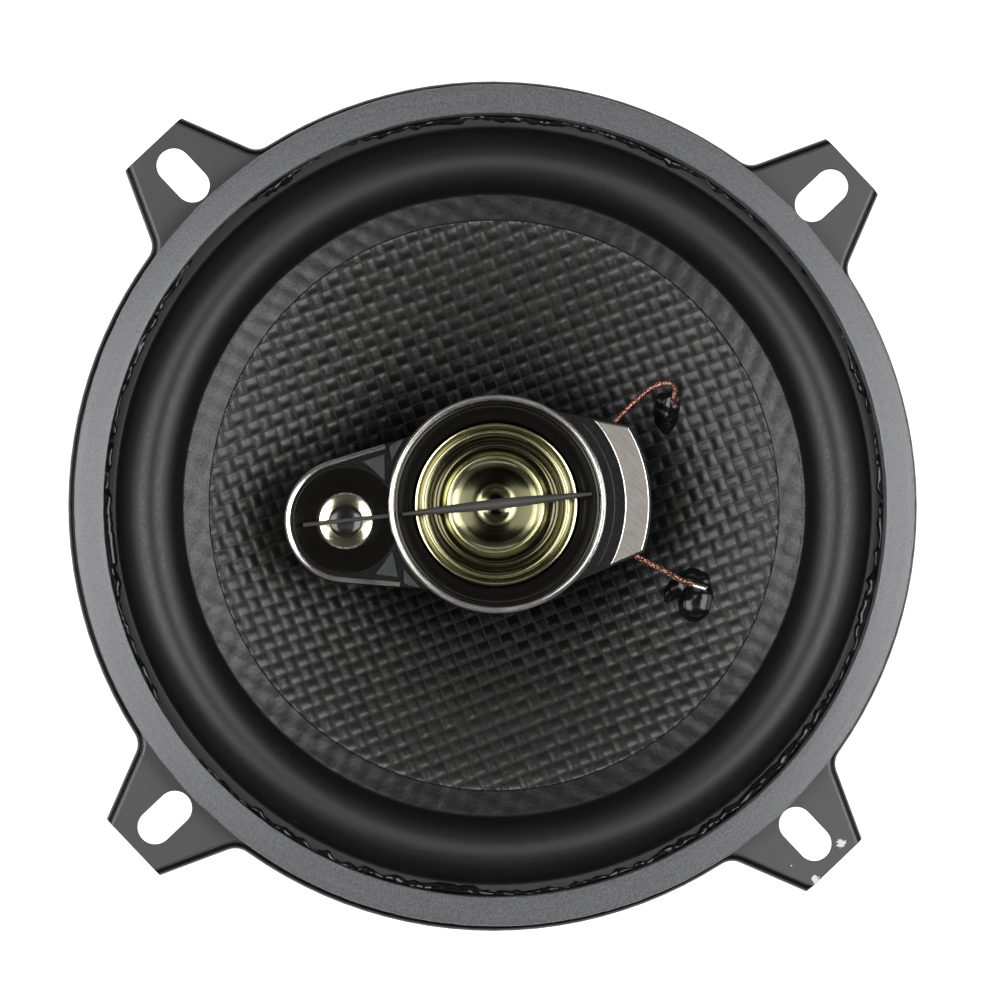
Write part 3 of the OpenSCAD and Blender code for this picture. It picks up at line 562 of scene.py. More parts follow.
def settle(piece: Obj, name: str, smooth: float = 35.0) -> Obj:
    """Names a finished piece, puts its place in its mesh and smooths it by angle."""
    piece.name = piece.data.name = name
    only(piece)
    bpy.ops.object.transform_apply(location=True, rotation=True, scale=True)
    bpy.ops.object.shade_smooth_by_angle(angle=math.radians(smooth))
    return piece


def flatten(piece: Obj) -> None:
    """Makes flat faces shade flat, and leaves the shading's turn to the eased edges."""
    apply_modifier(piece, "WEIGHTED_NORMAL", keep_sharp=True, weight=80)


def close_up(piece: Obj) -> None:
    """Merges doubled points and turns every face outwards."""
    only(piece)
    start_edit()
    bpy.ops.mesh.remove_doubles(threshold=0.001 * MM)
    bpy.ops.mesh.normals_make_consistent(inside=False)
    end_edit()


def lathe(name: str, profile: Sequence[Point], steps: int = 192, closed: bool = True, smooth: float = 35.0,
          center: Point = (0.0, 0.0)) -> Obj:
    """Turns a profile about the axis, ring by ring.

    Args:
        name: the piece's name.
        profile: points of (radius, height); a last radius of 0 closes the middle.
        steps: points round each ring.
        closed: whether the last ring joins the first.
        smooth: the angle under which edges are smoothed, in degrees.
        center: where the axis stands.

    Returns:
        The turned piece.
    """
    bpy.ops.object.select_all(action="DESELECT")
    radius, height = profile[0]
    bpy.ops.mesh.primitive_circle_add(vertices=steps, radius=radius, enter_editmode=False)
    piece = bpy.context.object
    start_edit()
    bpy.ops.transform.translate(value=(0, 0, height))
    for r, z in [*profile[1:], *([profile[0]] if closed else [])]:
        bpy.ops.mesh.extrude_region_move(TRANSFORM_OT_translate={"value": (0, 0, z - height)})
        if r <= 0:
            bpy.ops.mesh.merge(type="CENTER")
            break
        bpy.ops.transform.resize(value=(r / radius, r / radius, 1), center_override=(0, 0, 0))
        radius, height = r, z
    end_edit()
    piece.location = (*center, 0)
    close_up(piece)
    return settle(piece, name, smooth)


def curve_points(points: Sequence[Point], parts: int) -> list[Point]:
    """Points of (radius, height) with a smooth curve's points between them."""
    given = [np.array(p, float) for p in points]
    out: list[Point] = []
    for i in range(len(given) - 1):
        a, b = given[max(i - 1, 0)], given[i]
        c, d = given[i + 1], given[min(i + 2, len(given) - 1)]
        for k in range(parts):
            t = k / parts
            p = 2 * b + t * (c - a) + t * t * (2 * a - 5 * b + 4 * c - d) + t**3 * (3 * b - a - 3 * c + d)
            out.append(tuple(p / 2))
    return [*out, tuple(given[-1])]


def sheet_profile(line: Sequence[Point], thick: float) -> list[Point]:
    """A closed profile of a sheet whose front face is line."""
    p = np.array(line, float)
    run = np.gradient(p, axis=0)
    run /= np.linalg.norm(run, axis=1)[:, None]
    back = p - thick * np.stack([-run[:, 1], run[:, 0]], 1) * np.sign(run[0][0] or 1)
    return [tuple(q) for q in p] + [tuple(q) for q in back[::-1]]


def refined(frame: dict, node: str, name: str, bevel: float = 0.12, smooth: float = 32.0) -> Obj:
    """A copy of a CAD node with its edges eased, standing for that node.

    Args:
        node: the CAD node.
        name: the new piece's name.
        bevel: width of the eased edges in millimetres.
        smooth: the angle under which edges are smoothed, in degrees.

    Returns:
        The new piece.
    """
    source = frame["nodes"][node]
    piece = bpy.data.objects.new(name, source.data.copy())
    bpy.context.scene.collection.objects.link(piece)
    only(piece)
    start_edit()
    bpy.ops.mesh.remove_doubles(threshold=0.002 * MM)
    bpy.ops.mesh.dissolve_limited(angle_limit=math.radians(0.6))
    end_edit()
    if bevel:
        apply_modifier(piece, "BEVEL", width=bevel * MM, segments=3, limit_method="ANGLE",
                       angle_limit=math.radians(38), use_clamp_overlap=True)
    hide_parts(node)
    settle(piece, name, smooth)
    flatten(piece)
    return piece


def sweep(name: str, path: Sequence[Point3], section: Sequence[Point]) -> Obj:
    """Carries a section along a path lying flat, with its ends filled.

    Args:
        name: the piece's name.
        path: points in the row frame.
        section: points of (sideways, up) in metres.

    Returns:
        The swept piece.
    """
    bpy.ops.object.select_all(action="DESELECT")
    shape = line_curve("section", [[(x, y, 0) for x, y in section]], cyclic=True)
    rail = line_curve(name, [path])
    rail.data.bevel_mode = "OBJECT"
    rail.data.bevel_object = shape
    rail.data.use_fill_caps = True
    piece = to_mesh(rail)
    bpy.data.objects.remove(shape)
    close_up(piece)
    return settle(piece, name)


def line_curve(name: str, lines: Sequence[Sequence[Point3]], cyclic: bool = False) -> Obj:
    """A curve object of straight-segment splines, one for each line."""
    data = bpy.data.curves.new(name, "CURVE")
    data.dimensions = "3D"
    data.twist_mode = "Z_UP"
    for line in lines:
        spline = data.splines.new("POLY")
        spline.points.add(len(line) - 1)
        spline.points.foreach_set("co", [c for p in line for c in (*p, 1.0)])
        spline.use_cyclic_u = cyclic
    made = bpy.data.objects.new(name, data)
    bpy.context.scene.collection.objects.link(made)
    return made


def to_mesh(piece: Obj) -> Obj:
    """Converts a curve object to a mesh object."""
    only(piece)
    bpy.ops.object.convert(target="MESH")
    return bpy.context.object


def joined(pieces: Sequence[Obj]) -> Obj:
    """Joins pieces into the first of them."""
    bpy.ops.object.select_all(action="DESELECT")
    for piece in pieces:
        piece.select_set(True)
    bpy.context.view_layer.objects.active = pieces[0]
    bpy.ops.object.join()
    return bpy.context.object


def points_of(piece: Obj) -> np.ndarray:
    """A mesh's points as rows of three."""
    flat = np.empty(len(piece.data.vertices) * 3)
    piece.data.vertices.foreach_get("co", flat)
    return flat.reshape(-1, 3)


def move_points(piece: Obj, points: np.ndarray) -> None:
    """Writes a mesh's points back."""
    piece.data.vertices.foreach_set("co", points.ravel())
    piece.data.update()


def report(piece: Obj, finish: Finish, body: Body, slot: str, *nodes: str) -> None:
    """Dresses a piece, rides it on a body, hides the CAD nodes it stands for, and logs it."""
    finish.dress(piece)
    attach(piece, body.value)
    if nodes:
        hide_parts(*nodes)
    LOG.info("%s: %d points on %s", piece.name, len(piece.data.vertices), body.value)


def ease_all(frame: dict, rows: Sequence[tuple[str, str, Finish, str, float]]) -> None:
    """Eases the edges of CAD pieces of the frame's body; a row is node, name, finish, slot and bevel."""
    for node, name, finish, slot, bevel in rows:
        report(refined(frame, node, name, bevel), finish, Body.FRAME, slot)


def flex(piece: Obj, finish: Finish, slot: str, weight: Weight, *nodes: str) -> None:
    """Dresses a piece that spans the frame and the cone, puts its place in its mesh and hides the CAD nodes
    it stands for; each point's share of the cone's travel is worked out but not kept, so the piece does not
    bend.

    Args:
        piece: the finished mesh.
        finish: what it is dressed in.
        slot: not used.
        weight: gives each point's share of the cone's travel, 0 to 1.
        nodes: the CAD nodes that it stands for.
    """
    finish.dress(piece)
    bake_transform(piece)
    share = np.clip(weight(points_of(piece)), 0, 1).astype(np.float32)
    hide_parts(*nodes)
    LOG.info("%s: %d points, frame to cone", piece.name, len(piece.data.vertices))


def turned_in(points: Sequence[Point3], degrees: float) -> list[Point3]:
    """Points turned about the speaker's axis."""
    spin = Matrix.Rotation(math.radians(degrees), 3, "Z")
    return [tuple(spin @ Vector(p)) for p in points]


# ---------------------------------------------------------------- sub-assemblies


@dataclass
class FrameRing:
    """The pressed frame and the grey gasket glued on its rim."""

    frame: dict
    top_z: float = 0.9 * MM
    bend: float = 1.3 * MM
    crisp: float = 0.08 * MM
    fold_cos: float = 0.7
    slot_half: float = 2.8 * MM
    slot_reach: float = 5 * MM
    gasket_edge: float = 0.25 * MM
    bead_r: float = 59.1 * MM
    bead_size: float = 0.8 * MM
    bead_sink: float = 0.05 * MM

    def build(self) -> None:
        """Makes the frame, the gasket and the glue along the gasket's inner edge."""
        self.basket()
        self.gasket()
        self.glue_bead()

    def basket(self) -> None:
        """Eases the pressed frame's edges: wide at the turned-down edge, narrow elsewhere."""
        piece = refined(self.frame, "basket", "pressed_frame", bevel=0)
        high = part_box("gasket")[1]
        mesh = piece.data
        points = points_of(piece)
        radius = np.hypot(points[:, 0], points[:, 1])
        weights = mesh.attributes.new("bevel_weight_edge", "FLOAT", "EDGE")
        ends = np.array([e.vertices[:] for e in mesh.edges])
        at_top = (np.abs(points[ends][:, :, 2] - self.top_z) < 0.02 * MM).all(1)
        outer = (radius[ends] > high.x + 0.5 * MM).all(1)
        slot_mid = self.frame["record"]["mounts"][0]["dims"]["spacing_x_mm"] * MM / 2
        flat = np.sort(np.abs(points[ends][:, :, :2]), axis=2).mean(1)
        aside, reach = flat[:, 0], flat[:, 1]
        in_slot = (aside < self.slot_half) & (np.abs(reach - slot_mid) < self.slot_reach)
        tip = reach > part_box("basket")[1].x - 0.05 * MM
        sides: dict[tuple[int, int], list[Vector]] = {}
        for face in mesh.polygons:
            for key in face.edge_keys:
                sides.setdefault(key, []).append(face.normal)
        folded = np.array([sides[e.key][0].dot(sides[e.key][-1]) < self.fold_cos for e in mesh.edges])
        chosen = at_top & outer & folded & ~in_slot & ~tip
        weights.data.foreach_set("value", chosen.astype(np.float32))
        apply_modifier(piece, "BEVEL", width=self.bend, segments=6, limit_method="WEIGHT",
                       use_clamp_overlap=False)
        apply_modifier(piece, "BEVEL", width=self.crisp, segments=2, limit_method="ANGLE",
                       angle_limit=math.radians(50), use_clamp_overlap=False)
        settle(piece, "pressed_frame", 30)
        flatten(piece)
        report(piece, PAINT, Body.FRAME, "black_paint")
        # The bend's slanting faces get the darker paint as painted shade.
        FOLD_PAINTED_SHADE.add_to(piece, 0.2, 0.96)

    def gasket(self) -> None:
        """Turns the gasket ring and roughens its cut edges."""
        low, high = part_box("gasket")
        outer, e = high.x, self.gasket_edge
        inner = float(np.hypot(*points_of(self.frame["nodes"]["gasket"])[:, :2].T).min())
        line = [
            (inner, low.z), (outer, low.z), (outer, high.z - e), (outer - e * 0.3, high.z - e * 0.3),
            (outer - e, high.z), (outer - 1.4 * MM, high.z), ((outer + inner) / 2, high.z),
            (inner + 1.4 * MM, high.z), (inner + e, high.z), (inner + e * 0.3, high.z - e * 0.3),
            (inner, high.z - e),
        ]
        piece = lathe("gasket_ring", line, 384, smooth=40)
        points = points_of(piece)
        for i, p in enumerate(points):
            radius = math.hypot(p[0], p[1])
            near_edge = radius < inner + 0.3 * MM or radius > outer - 0.3 * MM
            wobble = noise.noise(Vector(p) * 700) * (0.07 if near_edge else 0.02) * MM
            points[i, :2] *= 1 + wobble / radius
        move_points(piece, points)
        report(piece, BOARD, Body.FRAME, "gasket_board", "gasket")

    def glue_bead(self) -> None:
        """A thin run of black glue inside the gasket, thick in some stretches and gone in others."""
        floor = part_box("gasket")[0].z - self.bead_sink
        half = [(self.bead_r + self.bead_size * math.cos(a), floor + self.bead_size * 0.8 * math.sin(a))
                for a in np.linspace(0, math.pi, 7)]
        piece = lathe("gasket_glue", half, 720, smooth=80)
        points = points_of(piece)
        for i, p in enumerate(points):
            where = Vector((p[0], p[1], 0)).normalized()
            amount = 0.5 + 1.2 * noise.noise(where * 4.5) + 0.5 * noise.noise(where * 23)
            amount = min(1.25, max(0.04, amount + 0.5 * noise.noise(Vector(p) * 900)))
            radius = math.hypot(p[0], p[1])
            shift = (self.bead_r + 0.35 * MM) - radius
            points[i, :2] *= 1 + shift * (1 - amount) / radius
            points[i, 2] = floor + (p[2] - floor) * amount
        move_points(piece, points)
        report(piece, GLUE, Body.FRAME, "black_glue")


@dataclass
class ConeAssembly:
    """The woven cone, its rubber surround, the coil and the spider."""

    frame: dict
    edge_r: float = 43.5 * MM
    neck_r: float = 13.22 * MM
    edge_z: float = 0.7 * MM
    depth: float = 16 * MM
    flare: float = 1.12
    thick: float = 0.4 * MM
    lip_r: float = 47.6 * MM
    roll_out: float = 57.5 * MM
    roll_w: float = 9.7 * MM
    roll_h: float = 4.0 * MM
    skin: float = 0.4 * MM
    weave: Weave = Weave()
    yarn_h: float = 0.3 * MM

    def build(self) -> None:
        """Makes every piece of the moving cone and of what holds it."""
        self.cone_cloth()
        self.surround()
        self.spider()
        for node, finish in (("voice_coil_former", FILM), ("voice_coil", WIRE), ("dust_filter", FELT)):
            finish.dress(self.frame["nodes"][node])

    def height(self, r: np.ndarray | float) -> np.ndarray | float:
        """Height of the cone's middle at radius r."""
        inside = np.clip((self.edge_r - r) / (self.edge_r - self.neck_r), 0, None)
        return self.edge_z - self.depth * inside**self.flare

    def cone_cloth(self) -> None:
        """Weaves the front skin yarn by yarn on a grid along the yarns, over a turned backing."""
        w = self.weave
        per_yarn = 6
        yarns = int(self.edge_r * 2 / min(w.pitch_u, w.pitch_v)) + 3
        cells = yarns * per_yarn
        bpy.ops.object.select_all(action="DESELECT")
        bpy.ops.mesh.primitive_grid_add(x_subdivisions=cells, y_subdivisions=cells, size=yarns)
        piece = bpy.context.object
        points = points_of(piece)
        u, v = points[:, 0].copy(), points[:, 1].copy()
        if yarns % 2:
            u += 0.5
            v += 0.5
        c, s = math.cos(w.turn), math.sin(w.turn)
        along, aside = u * w.pitch_u, v * w.pitch_v
        points[:, 0], points[:, 1] = along * c - aside * s, along * s + aside * c
        radius = np.hypot(points[:, 0], points[:, 1])
        crown = w.relief(u + 1e-7, v + 1e-7)
        points[:, 2] = self.height(radius) + self.thick * 0.5 + self.yarn_h * (crown - 0.45)
        move_points(piece, points)
        layer = piece.data.uv_layers.get("UVMap") or piece.data.uv_layers.new(name="UVMap")
        corner = np.empty(len(piece.data.loops), np.int32)
        piece.data.loops.foreach_get("vertex_index", corner)
        layer.data.foreach_set("uv", np.stack([u[corner], v[corner]], 1).ravel())
        keep = (radius < self.edge_r + 0.5 * MM) & (radius > self.neck_r + 0.1 * MM)
        only(piece)
        start_edit(False)
        end_edit()
        piece.data.vertices.foreach_set("select", ~keep)
        bpy.ops.object.mode_set(mode="EDIT")
        bpy.ops.mesh.delete(type="VERT")
        end_edit()
        settle(piece, "cone_skin", 60)
        report(piece, CLOTH, Body.CONE, "cone_weave", "cone")
        radii = np.linspace(self.neck_r, self.edge_r, 20)
        line = [(self.neck_r, self.height(self.neck_r) - 2 * MM)]
        line += [(float(r), float(self.height(r))) for r in radii]
        line += [(self.lip_r, self.edge_z)]
        backing = lathe("cone_backing", sheet_profile(line, self.thick * 0.5), 192)
        report(backing, CONE_BACK, Body.CONE, "cone_weave")
        z = float(self.height(self.neck_r))
        ring = [(self.neck_r + 0.9 * MM * math.cos(a) - 0.2 * MM, z + 0.55 * MM + 0.9 * MM * math.sin(a))
                for a in np.linspace(0, 2 * math.pi, 12, endpoint=False)]
        neck = lathe("neck_glue", ring, 128, smooth=80)
        report(neck, GLUE, Body.CONE, "black_glue")

    def surround(self) -> None:
        """Turns the half roll with its two lands; its inner edge meets the cone's edge."""
        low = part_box("surround")[0].z
        front = low + self.skin
        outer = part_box("surround")[1].x
        half = self.roll_w / 2
        mid = self.roll_out - half
        arc = (half * half + self.roll_h**2) / (2 * self.roll_h)
        radii = np.linspace(self.edge_r, outer, 90)
        away = np.clip(np.abs(radii - mid), 0, half)
        rise = np.sqrt(arc * arc - away * away) - (arc - self.roll_h)
        for _ in range(2):
            rise[1:-1] = (rise[:-2] + 2 * rise[1:-1] + rise[2:]) / 4
        line = list(zip(radii.tolist(), (front + np.maximum(rise, 0)).tolist()))
        line[0] = (line[0][0], front - 0.12 * MM)
        line.insert(1, (self.edge_r + 0.12 * MM, front))
        piece = lathe("surround_roll", sheet_profile(line, self.skin), 224, smooth=50)
        share = self.radial(self.roll_out, self.roll_out - self.roll_w)
        flex(piece, RUBBER, "black_rubber", share, "surround")

    @staticmethod
    def radial(fixed_r: float, moving_r: float) -> Weight:
        """A weight that grows from 0 at fixed_r to 1 at moving_r."""
        return lambda p: (fixed_r - np.hypot(p[:, 0], p[:, 1])) / (fixed_r - moving_r)

    def spider(self) -> None:
        """Turns the corrugated spider."""
        low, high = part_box("spider")
        points = points_of(self.frame["nodes"]["spider"])
        inner = float(np.hypot(points[:, 0], points[:, 1]).min())
        thick, waves, amp = 0.4 * MM, 5, 0.9 * MM
        mid = float(points[np.hypot(points[:, 0], points[:, 1]) > high.x - 0.3 * MM][:, 2].mean()) + thick / 2
        start, land = inner + 2.6 * MM, high.x - 4.2 * MM
        line = [(inner + 0.2 * MM, high.z), (inner + 0.3 * MM, mid + 0.5 * MM), (inner + 0.8 * MM, mid)]
        steps = waves * 10
        for i in range(steps + 1):
            part = i / steps
            line.append((start + (land - start) * part, mid - amp * math.sin(2 * math.pi * waves * part)))
        line.append((high.x, mid))
        piece = lathe("spider_disc", sheet_profile(line, thick), 160, smooth=70)
        flex(piece, SPIDER, "spider_cloth", self.radial(land, inner + 1 * MM), "spider")


@dataclass
class Leads:
    """The copper braids and the glue over their ends."""

    frame: dict
    cone: ConeAssembly
    front_r: float = 0.5 * MM
    rear_r: float = 0.5 * MM
    strands: int = 5
    pitch: float = 2.3 * MM
    start_gap: float = 0.1 * MM
    board_angle: float = -45.0
    upper: tuple[Point3, ...] = (
        (18.9, -3.9, 10.9), (20.6, -3.6, 9.9), (22.6, -3.4, 8.8), (25, -3.3, 7.6), (27.3, -3.3, 6.6),
        (29.4, -3.4, 5.7), (31.4, -4, 4.8), (32.6, -5, 3.6), (32.6, -6.2, 2.3), (31.8, -7, 1.7),
    )
    lower: tuple[Point3, ...] = (
        (9, -17.1, 10.9), (9.8, -18.9, 9.5), (10.6, -20.8, 8), (11.3, -22.8, 6.5), (12, -24.8, 5.1),
        (12.6, -26.6, 3.9), (13.1, -28.1, 2.9),
    )
    rear: tuple[Point3, ...] = (
        (0, 9.4, 1.2), (-1, 9.7, 3), (-3, 10.2, 4.2), (-6, 10.9, 4.6), (-9, 11.8, 5), (-12, 12.8, 6),
    )

    def build(self) -> None:
        """Makes the four leads and the two lumps of glue."""
        upper = self.from_tag(self.upper) + self.over(((31.0, -7.6, 0.9),))
        lower = self.from_tag(self.lower) + self.over(((13.9, -29.9, 2.5), (14.9, -31.7, 2.1)))
        self.braid("front_braid_upper", upper, self.front_r, "front_lead_upper")
        self.braid("front_braid_lower", lower, self.front_r, "front_lead_lower")
        tip = line_curve("braid_tip", [lower[-2:]])
        tip.data.bevel_depth = self.front_r * 1.1
        tip.data.use_fill_caps = True
        tip = to_mesh(tip)
        apply_modifier(tip, "REMESH", mode="VOXEL", voxel_size=0.09 * MM)
        settle(tip, "braid_tip", 60)
        report(tip, TINNED, Body.CONE, "tinned_brass")
        for side, name in ((1, "positive"), (-1, "negative")):
            line = [self.on_leg((x, side * y, z)) for x, y, z in self.rear]
            self.braid(f"tinsel_{name}", line, self.rear_r, f"tinsel_lead_{name}")
        self.lump("lead_glue_top", "lead_glue_upper", (
            (31.5, -7.1, 1.4), (30.7, -7.6, 1.7), (29.7, -8.2, 1.9), (28.7, -9.0, 1.6), (27.8, -9.7, 1.1),
            (30.3, -6.3, 1.4), (28.9, -7.3, 1.4), (28.0, -8.4, 1.1),
        ))
        self.lump("lead_glue_bottom", "lead_glue_lower", (
            (12.2, -32.5, 2.8), (13.2, -32.2, 2.6), (14.4, -29.6, 2.2), (13.4, -29.2, 2.1),
            (12.2, -28.8, 1.8),
            (10.9, -28.6, 1.3), (10.0, -28.9, 0.9), (15.2, -30.6, 1.7),
        ))

    def over(self, route: Sequence[Point3]) -> list[Point3]:
        """Points of x, y and height over the cone, in millimetres, to the row frame."""
        return [(x * MM, y * MM, float(self.cone.height(math.hypot(x, y) * MM)) + z * MM)
                for x, y, z in route]

    def from_tag(self, route: Sequence[Point3]) -> list[Point3]:
        """A route over the cone whose start is lifted to hang just under the solder tags."""
        line = self.over(route)
        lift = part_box("pod_solder_tags")[0].z - self.start_gap - self.front_r - line[0][2]
        last = len(line) - 1
        return [(x, y, z + lift * (1 - i / last)) for i, (x, y, z) in enumerate(line)]

    def on_leg(self, p: Point3) -> Point3:
        """A point in the terminal board's own directions, in millimetres, to the row frame."""
        low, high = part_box("terminal_rivet")
        mid = (low + high) / 2
        center = math.hypot(mid.x, mid.y)
        slope = math.atan2(15.4, 20.4)
        spin = Matrix.Rotation(math.radians(self.board_angle), 3, "Z") @ Matrix.Rotation(-slope, 3, "Y")
        base = Vector((center * math.cos(math.radians(self.board_angle)),
                       center * math.sin(math.radians(self.board_angle)), mid.z))
        return tuple(base + spin @ (Vector(p) * MM + Vector((0, 0, 0.1 * MM))))

    def braid(self, name: str, route: Sequence[Point3], radius: float, node: str) -> None:
        """Twists strands round a core along a route, from the frame to the cone."""
        line = np.array(curve_points(route, 14))
        steps = np.linalg.norm(np.diff(line, axis=0), axis=1)
        run = np.concatenate([[0], np.cumsum(steps)])
        tangent = np.gradient(line, axis=0)
        tangent /= np.linalg.norm(tangent, axis=1)[:, None]
        side = np.cross(tangent, [0, 0, 1.0])
        side /= np.linalg.norm(side, axis=1)[:, None]
        up = np.cross(side, tangent)
        thick = radius * 0.36
        strands = []
        for k in range(self.strands):
            angle = 2 * math.pi * (run / self.pitch + k / self.strands)
            wave = radius - thick
            strand = line + (np.cos(angle) * wave)[:, None] * side + (np.sin(angle) * wave)[:, None] * up
            strands.append([tuple(p) for p in strand])
        wires = line_curve(name, strands)
        wires.data.bevel_depth = thick
        wires.data.bevel_resolution = 2
        wires.data.use_fill_caps = True
        core = line_curve("core", [[tuple(p) for p in line]])
        core.data.bevel_depth = radius - thick * 1.7
        core.data.use_fill_caps = True
        piece = joined([to_mesh(wires), to_mesh(core)])
        settle(piece, name, 60)
        flex(piece, COPPER, "copper_braid", self.along(line, run), node)

    @staticmethod
    def along(line: np.ndarray, run: np.ndarray) -> Weight:
        """A weight that grows along a line from its start to its end."""
        def weight(points: np.ndarray) -> np.ndarray:
            """Share of the way along the line for each point."""
            near = np.linalg.norm(points[:, None, :] - line[None, :, :], axis=2).argmin(1)
            return run[near] / run[-1] * 1.1
        return weight

    def lump(self, name: str, node: str, drops: Sequence[Point3]) -> None:
        """Runs drops of glue together on the cone; a drop is x, y and its radius, in millimetres."""
        made = []
        for x, y, size in drops:
            z = float(self.cone.height(math.hypot(x, y) * MM)) + 0.25 * MM
            bpy.ops.object.select_all(action="DESELECT")
            bpy.ops.mesh.primitive_ico_sphere_add(subdivisions=4, radius=size * MM,
                                                  location=(x * MM, y * MM, z))
            bpy.ops.transform.resize(value=(1, 1, 0.62))
            made.append(bpy.context.object)
        piece = joined(made)
        apply_modifier(piece, "REMESH", mode="VOXEL", voxel_size=0.16 * MM)
        apply_modifier(piece, "SMOOTH", factor=0.9, iterations=24)
        only(piece)
        bpy.ops.object.transform_apply(location=True, rotation=True, scale=True)
        points = points_of(piece)
        for i, p in enumerate(points):
            points[i, 2] += noise.noise(Vector(p) * 420) * 0.12 * MM
        move_points(piece, points)
        settle(piece, name, 80)
        report(piece, GLUE, Body.CONE, "black_glue", node)


@dataclass
class Pod:
    """The pod on its post, with its bright trims, its blank plate and both tweeters."""

    frame: dict
    turn: float = -37.2
    small_x: float = 23 * MM
    small_r: float = 9.4 * MM
    flare: float = 10.8
    ring_w: float = 1.0 * MM
    trim_w: float = 0.9 * MM
    trim_end: float = -16 * MM
    rib_r: float = 17.9 * MM
    rib_size: float = 0.11 * MM
    film: float = 0.1 * MM

    def build(self) -> None:
        """Makes the pod from its post up to its trims."""
        self.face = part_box("pod_housing")[1].z
        ease_all(self.frame, (
            ("pod_housing", "pod_shell", PLASTIC, "black_plastic", 0.25),
            ("pod_back_cover", "pod_cover", PLASTIC, "black_plastic", 0.3),
            ("pod_post", "pod_stem", PLASTIC, "black_plastic", 0.2),
            ("pod_screw", "pod_bolt", ZINC, "plated_steel", 0.2),
            ("badge_plate", "blank_badge", BADGE, "badge_steel", 0.24),
            ("pod_solder_tags", "solder_tags", TINNED, "tinned_brass", 0.06),
        ))
        BRIGHT.add_to(bpy.data.objects["blank_badge"], 0.05, 0.98)
        self.ring()
        self.small_trim()
        self.details()
        self.tweeter()
        self.super_tweeter()

    @staticmethod
    def twin(w: float, h: float) -> list[Point]:
        """Half of the bright trims' section: two rounded ridges with a groove between them."""
        return [
            (0, 0), (0, h * 0.72), (w * 0.05, h * 0.9), (w * 0.14, h), (w * 0.26, h), (w * 0.36, h * 0.9),
            (w * 0.44, h * 0.66), (w * 0.5, h * 0.58), (w * 0.56, h * 0.64), (w * 0.64, h * 0.84),
            (w * 0.74, h * 0.94), (w * 0.86, h * 0.9), (w * 0.95, h * 0.76), (w, h * 0.55), (w, 0),
        ]

    def ring(self) -> None:
        """Turns the bright ring round the tweeter."""
        low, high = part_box("pod_trim_ring")
        start = high.x - self.ring_w
        line = [(start + x, low.z + z) for x, z in self.twin(self.ring_w, high.z - low.z)]
        piece = lathe("bright_ring", line, 256, smooth=50)
        report(piece, BRIGHT, Body.FRAME, "bright_trim", "pod_trim_ring")

    def small_trim(self) -> None:
        """Sweeps the bright trim round the small pod, with its two straight arms."""
        low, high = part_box("pod_trim_small")
        r = self.small_r - self.trim_w / 2
        lean = math.radians(self.flare)
        touch = (-self.small_x - r * math.sin(lean), r * math.cos(lean))
        end = (self.trim_end, touch[1] + (self.trim_end - touch[0]) * math.tan(lean))
        arm = [(end[0] + (touch[0] - end[0]) * t, end[1] + (touch[1] - end[1]) * t)
               for t in (0, 0.25, 0.5, 0.75)]
        start = math.pi / 2 + lean
        bend = [(-self.small_x + r * math.cos(a), r * math.sin(a))
                for a in np.linspace(start, 2 * math.pi - start, 64)]
        path = [*arm, *bend, *[(x, -y) for x, y in reversed(arm)]]
        section = [(self.trim_w / 2 - x, z) for x, z in self.twin(self.trim_w, high.z - low.z)]
        piece = sweep("bright_trim", turned_in([(x, y, low.z) for x, y in path], self.turn), section)
        report(piece, BRIGHT, Body.FRAME, "bright_trim", "pod_trim_small")

    def details(self) -> None:
        """Adds the rib beside the plate and the grained corner panels beside the small trim."""
        arc = [(self.rib_r * math.cos(a), self.rib_r * math.sin(a), self.face)
               for a in np.radians(np.linspace(-37, 37, 40))]
        bead = [(self.rib_size * math.cos(a), self.rib_size * math.sin(a))
                for a in np.linspace(0, 2 * math.pi, 8, endpoint=False)]
        rib = sweep("wing_rib", turned_in(arc, self.turn), bead)
        report(rib, ROUGH_PLASTIC, Body.FRAME, "black_plastic")
        panels = []
        for side in (1, -1):
            corner = [(-16.6, 5.2), (-16.2, 9.4), (-19.6, 8.6), (-18.2, 7.2)]
            panels.append(self.panel([(x, side * y) for x, y in corner], 0.35))
            block = [(-15.2, 8.2), (-14.1, 9.9), (-13.0, 11.4), (-14.6, 10.9), (-15.4, 10.4)]
            panels.append(self.panel([(x, side * y) for x, y in block], 0.5))
        piece = settle(joined(panels), "pod_corner_panels", 30)
        report(piece, ROUGH_PLASTIC, Body.FRAME, "black_plastic")

    def panel(self, outline: Sequence[Point], height: float) -> Obj:
        """A low block of that outline on the pod's face, with eased edges; sizes in millimetres."""
        bpy.ops.object.select_all(action="DESELECT")
        bpy.ops.mesh.primitive_circle_add(vertices=len(outline), radius=1, fill_type="NGON")
        piece = bpy.context.object
        spots = turned_in([(x * MM, y * MM, self.face - 0.05 * MM) for x, y in outline], self.turn)
        move_points(piece, np.array(spots))
        start_edit()
        bpy.ops.mesh.extrude_region_move(TRANSFORM_OT_translate={"value": (0, 0, height * MM)})
        end_edit()
        close_up(piece)
        apply_modifier(piece, "BEVEL", width=0.1 * MM, segments=2, limit_method="ANGLE",
                       angle_limit=math.radians(40))
        return piece

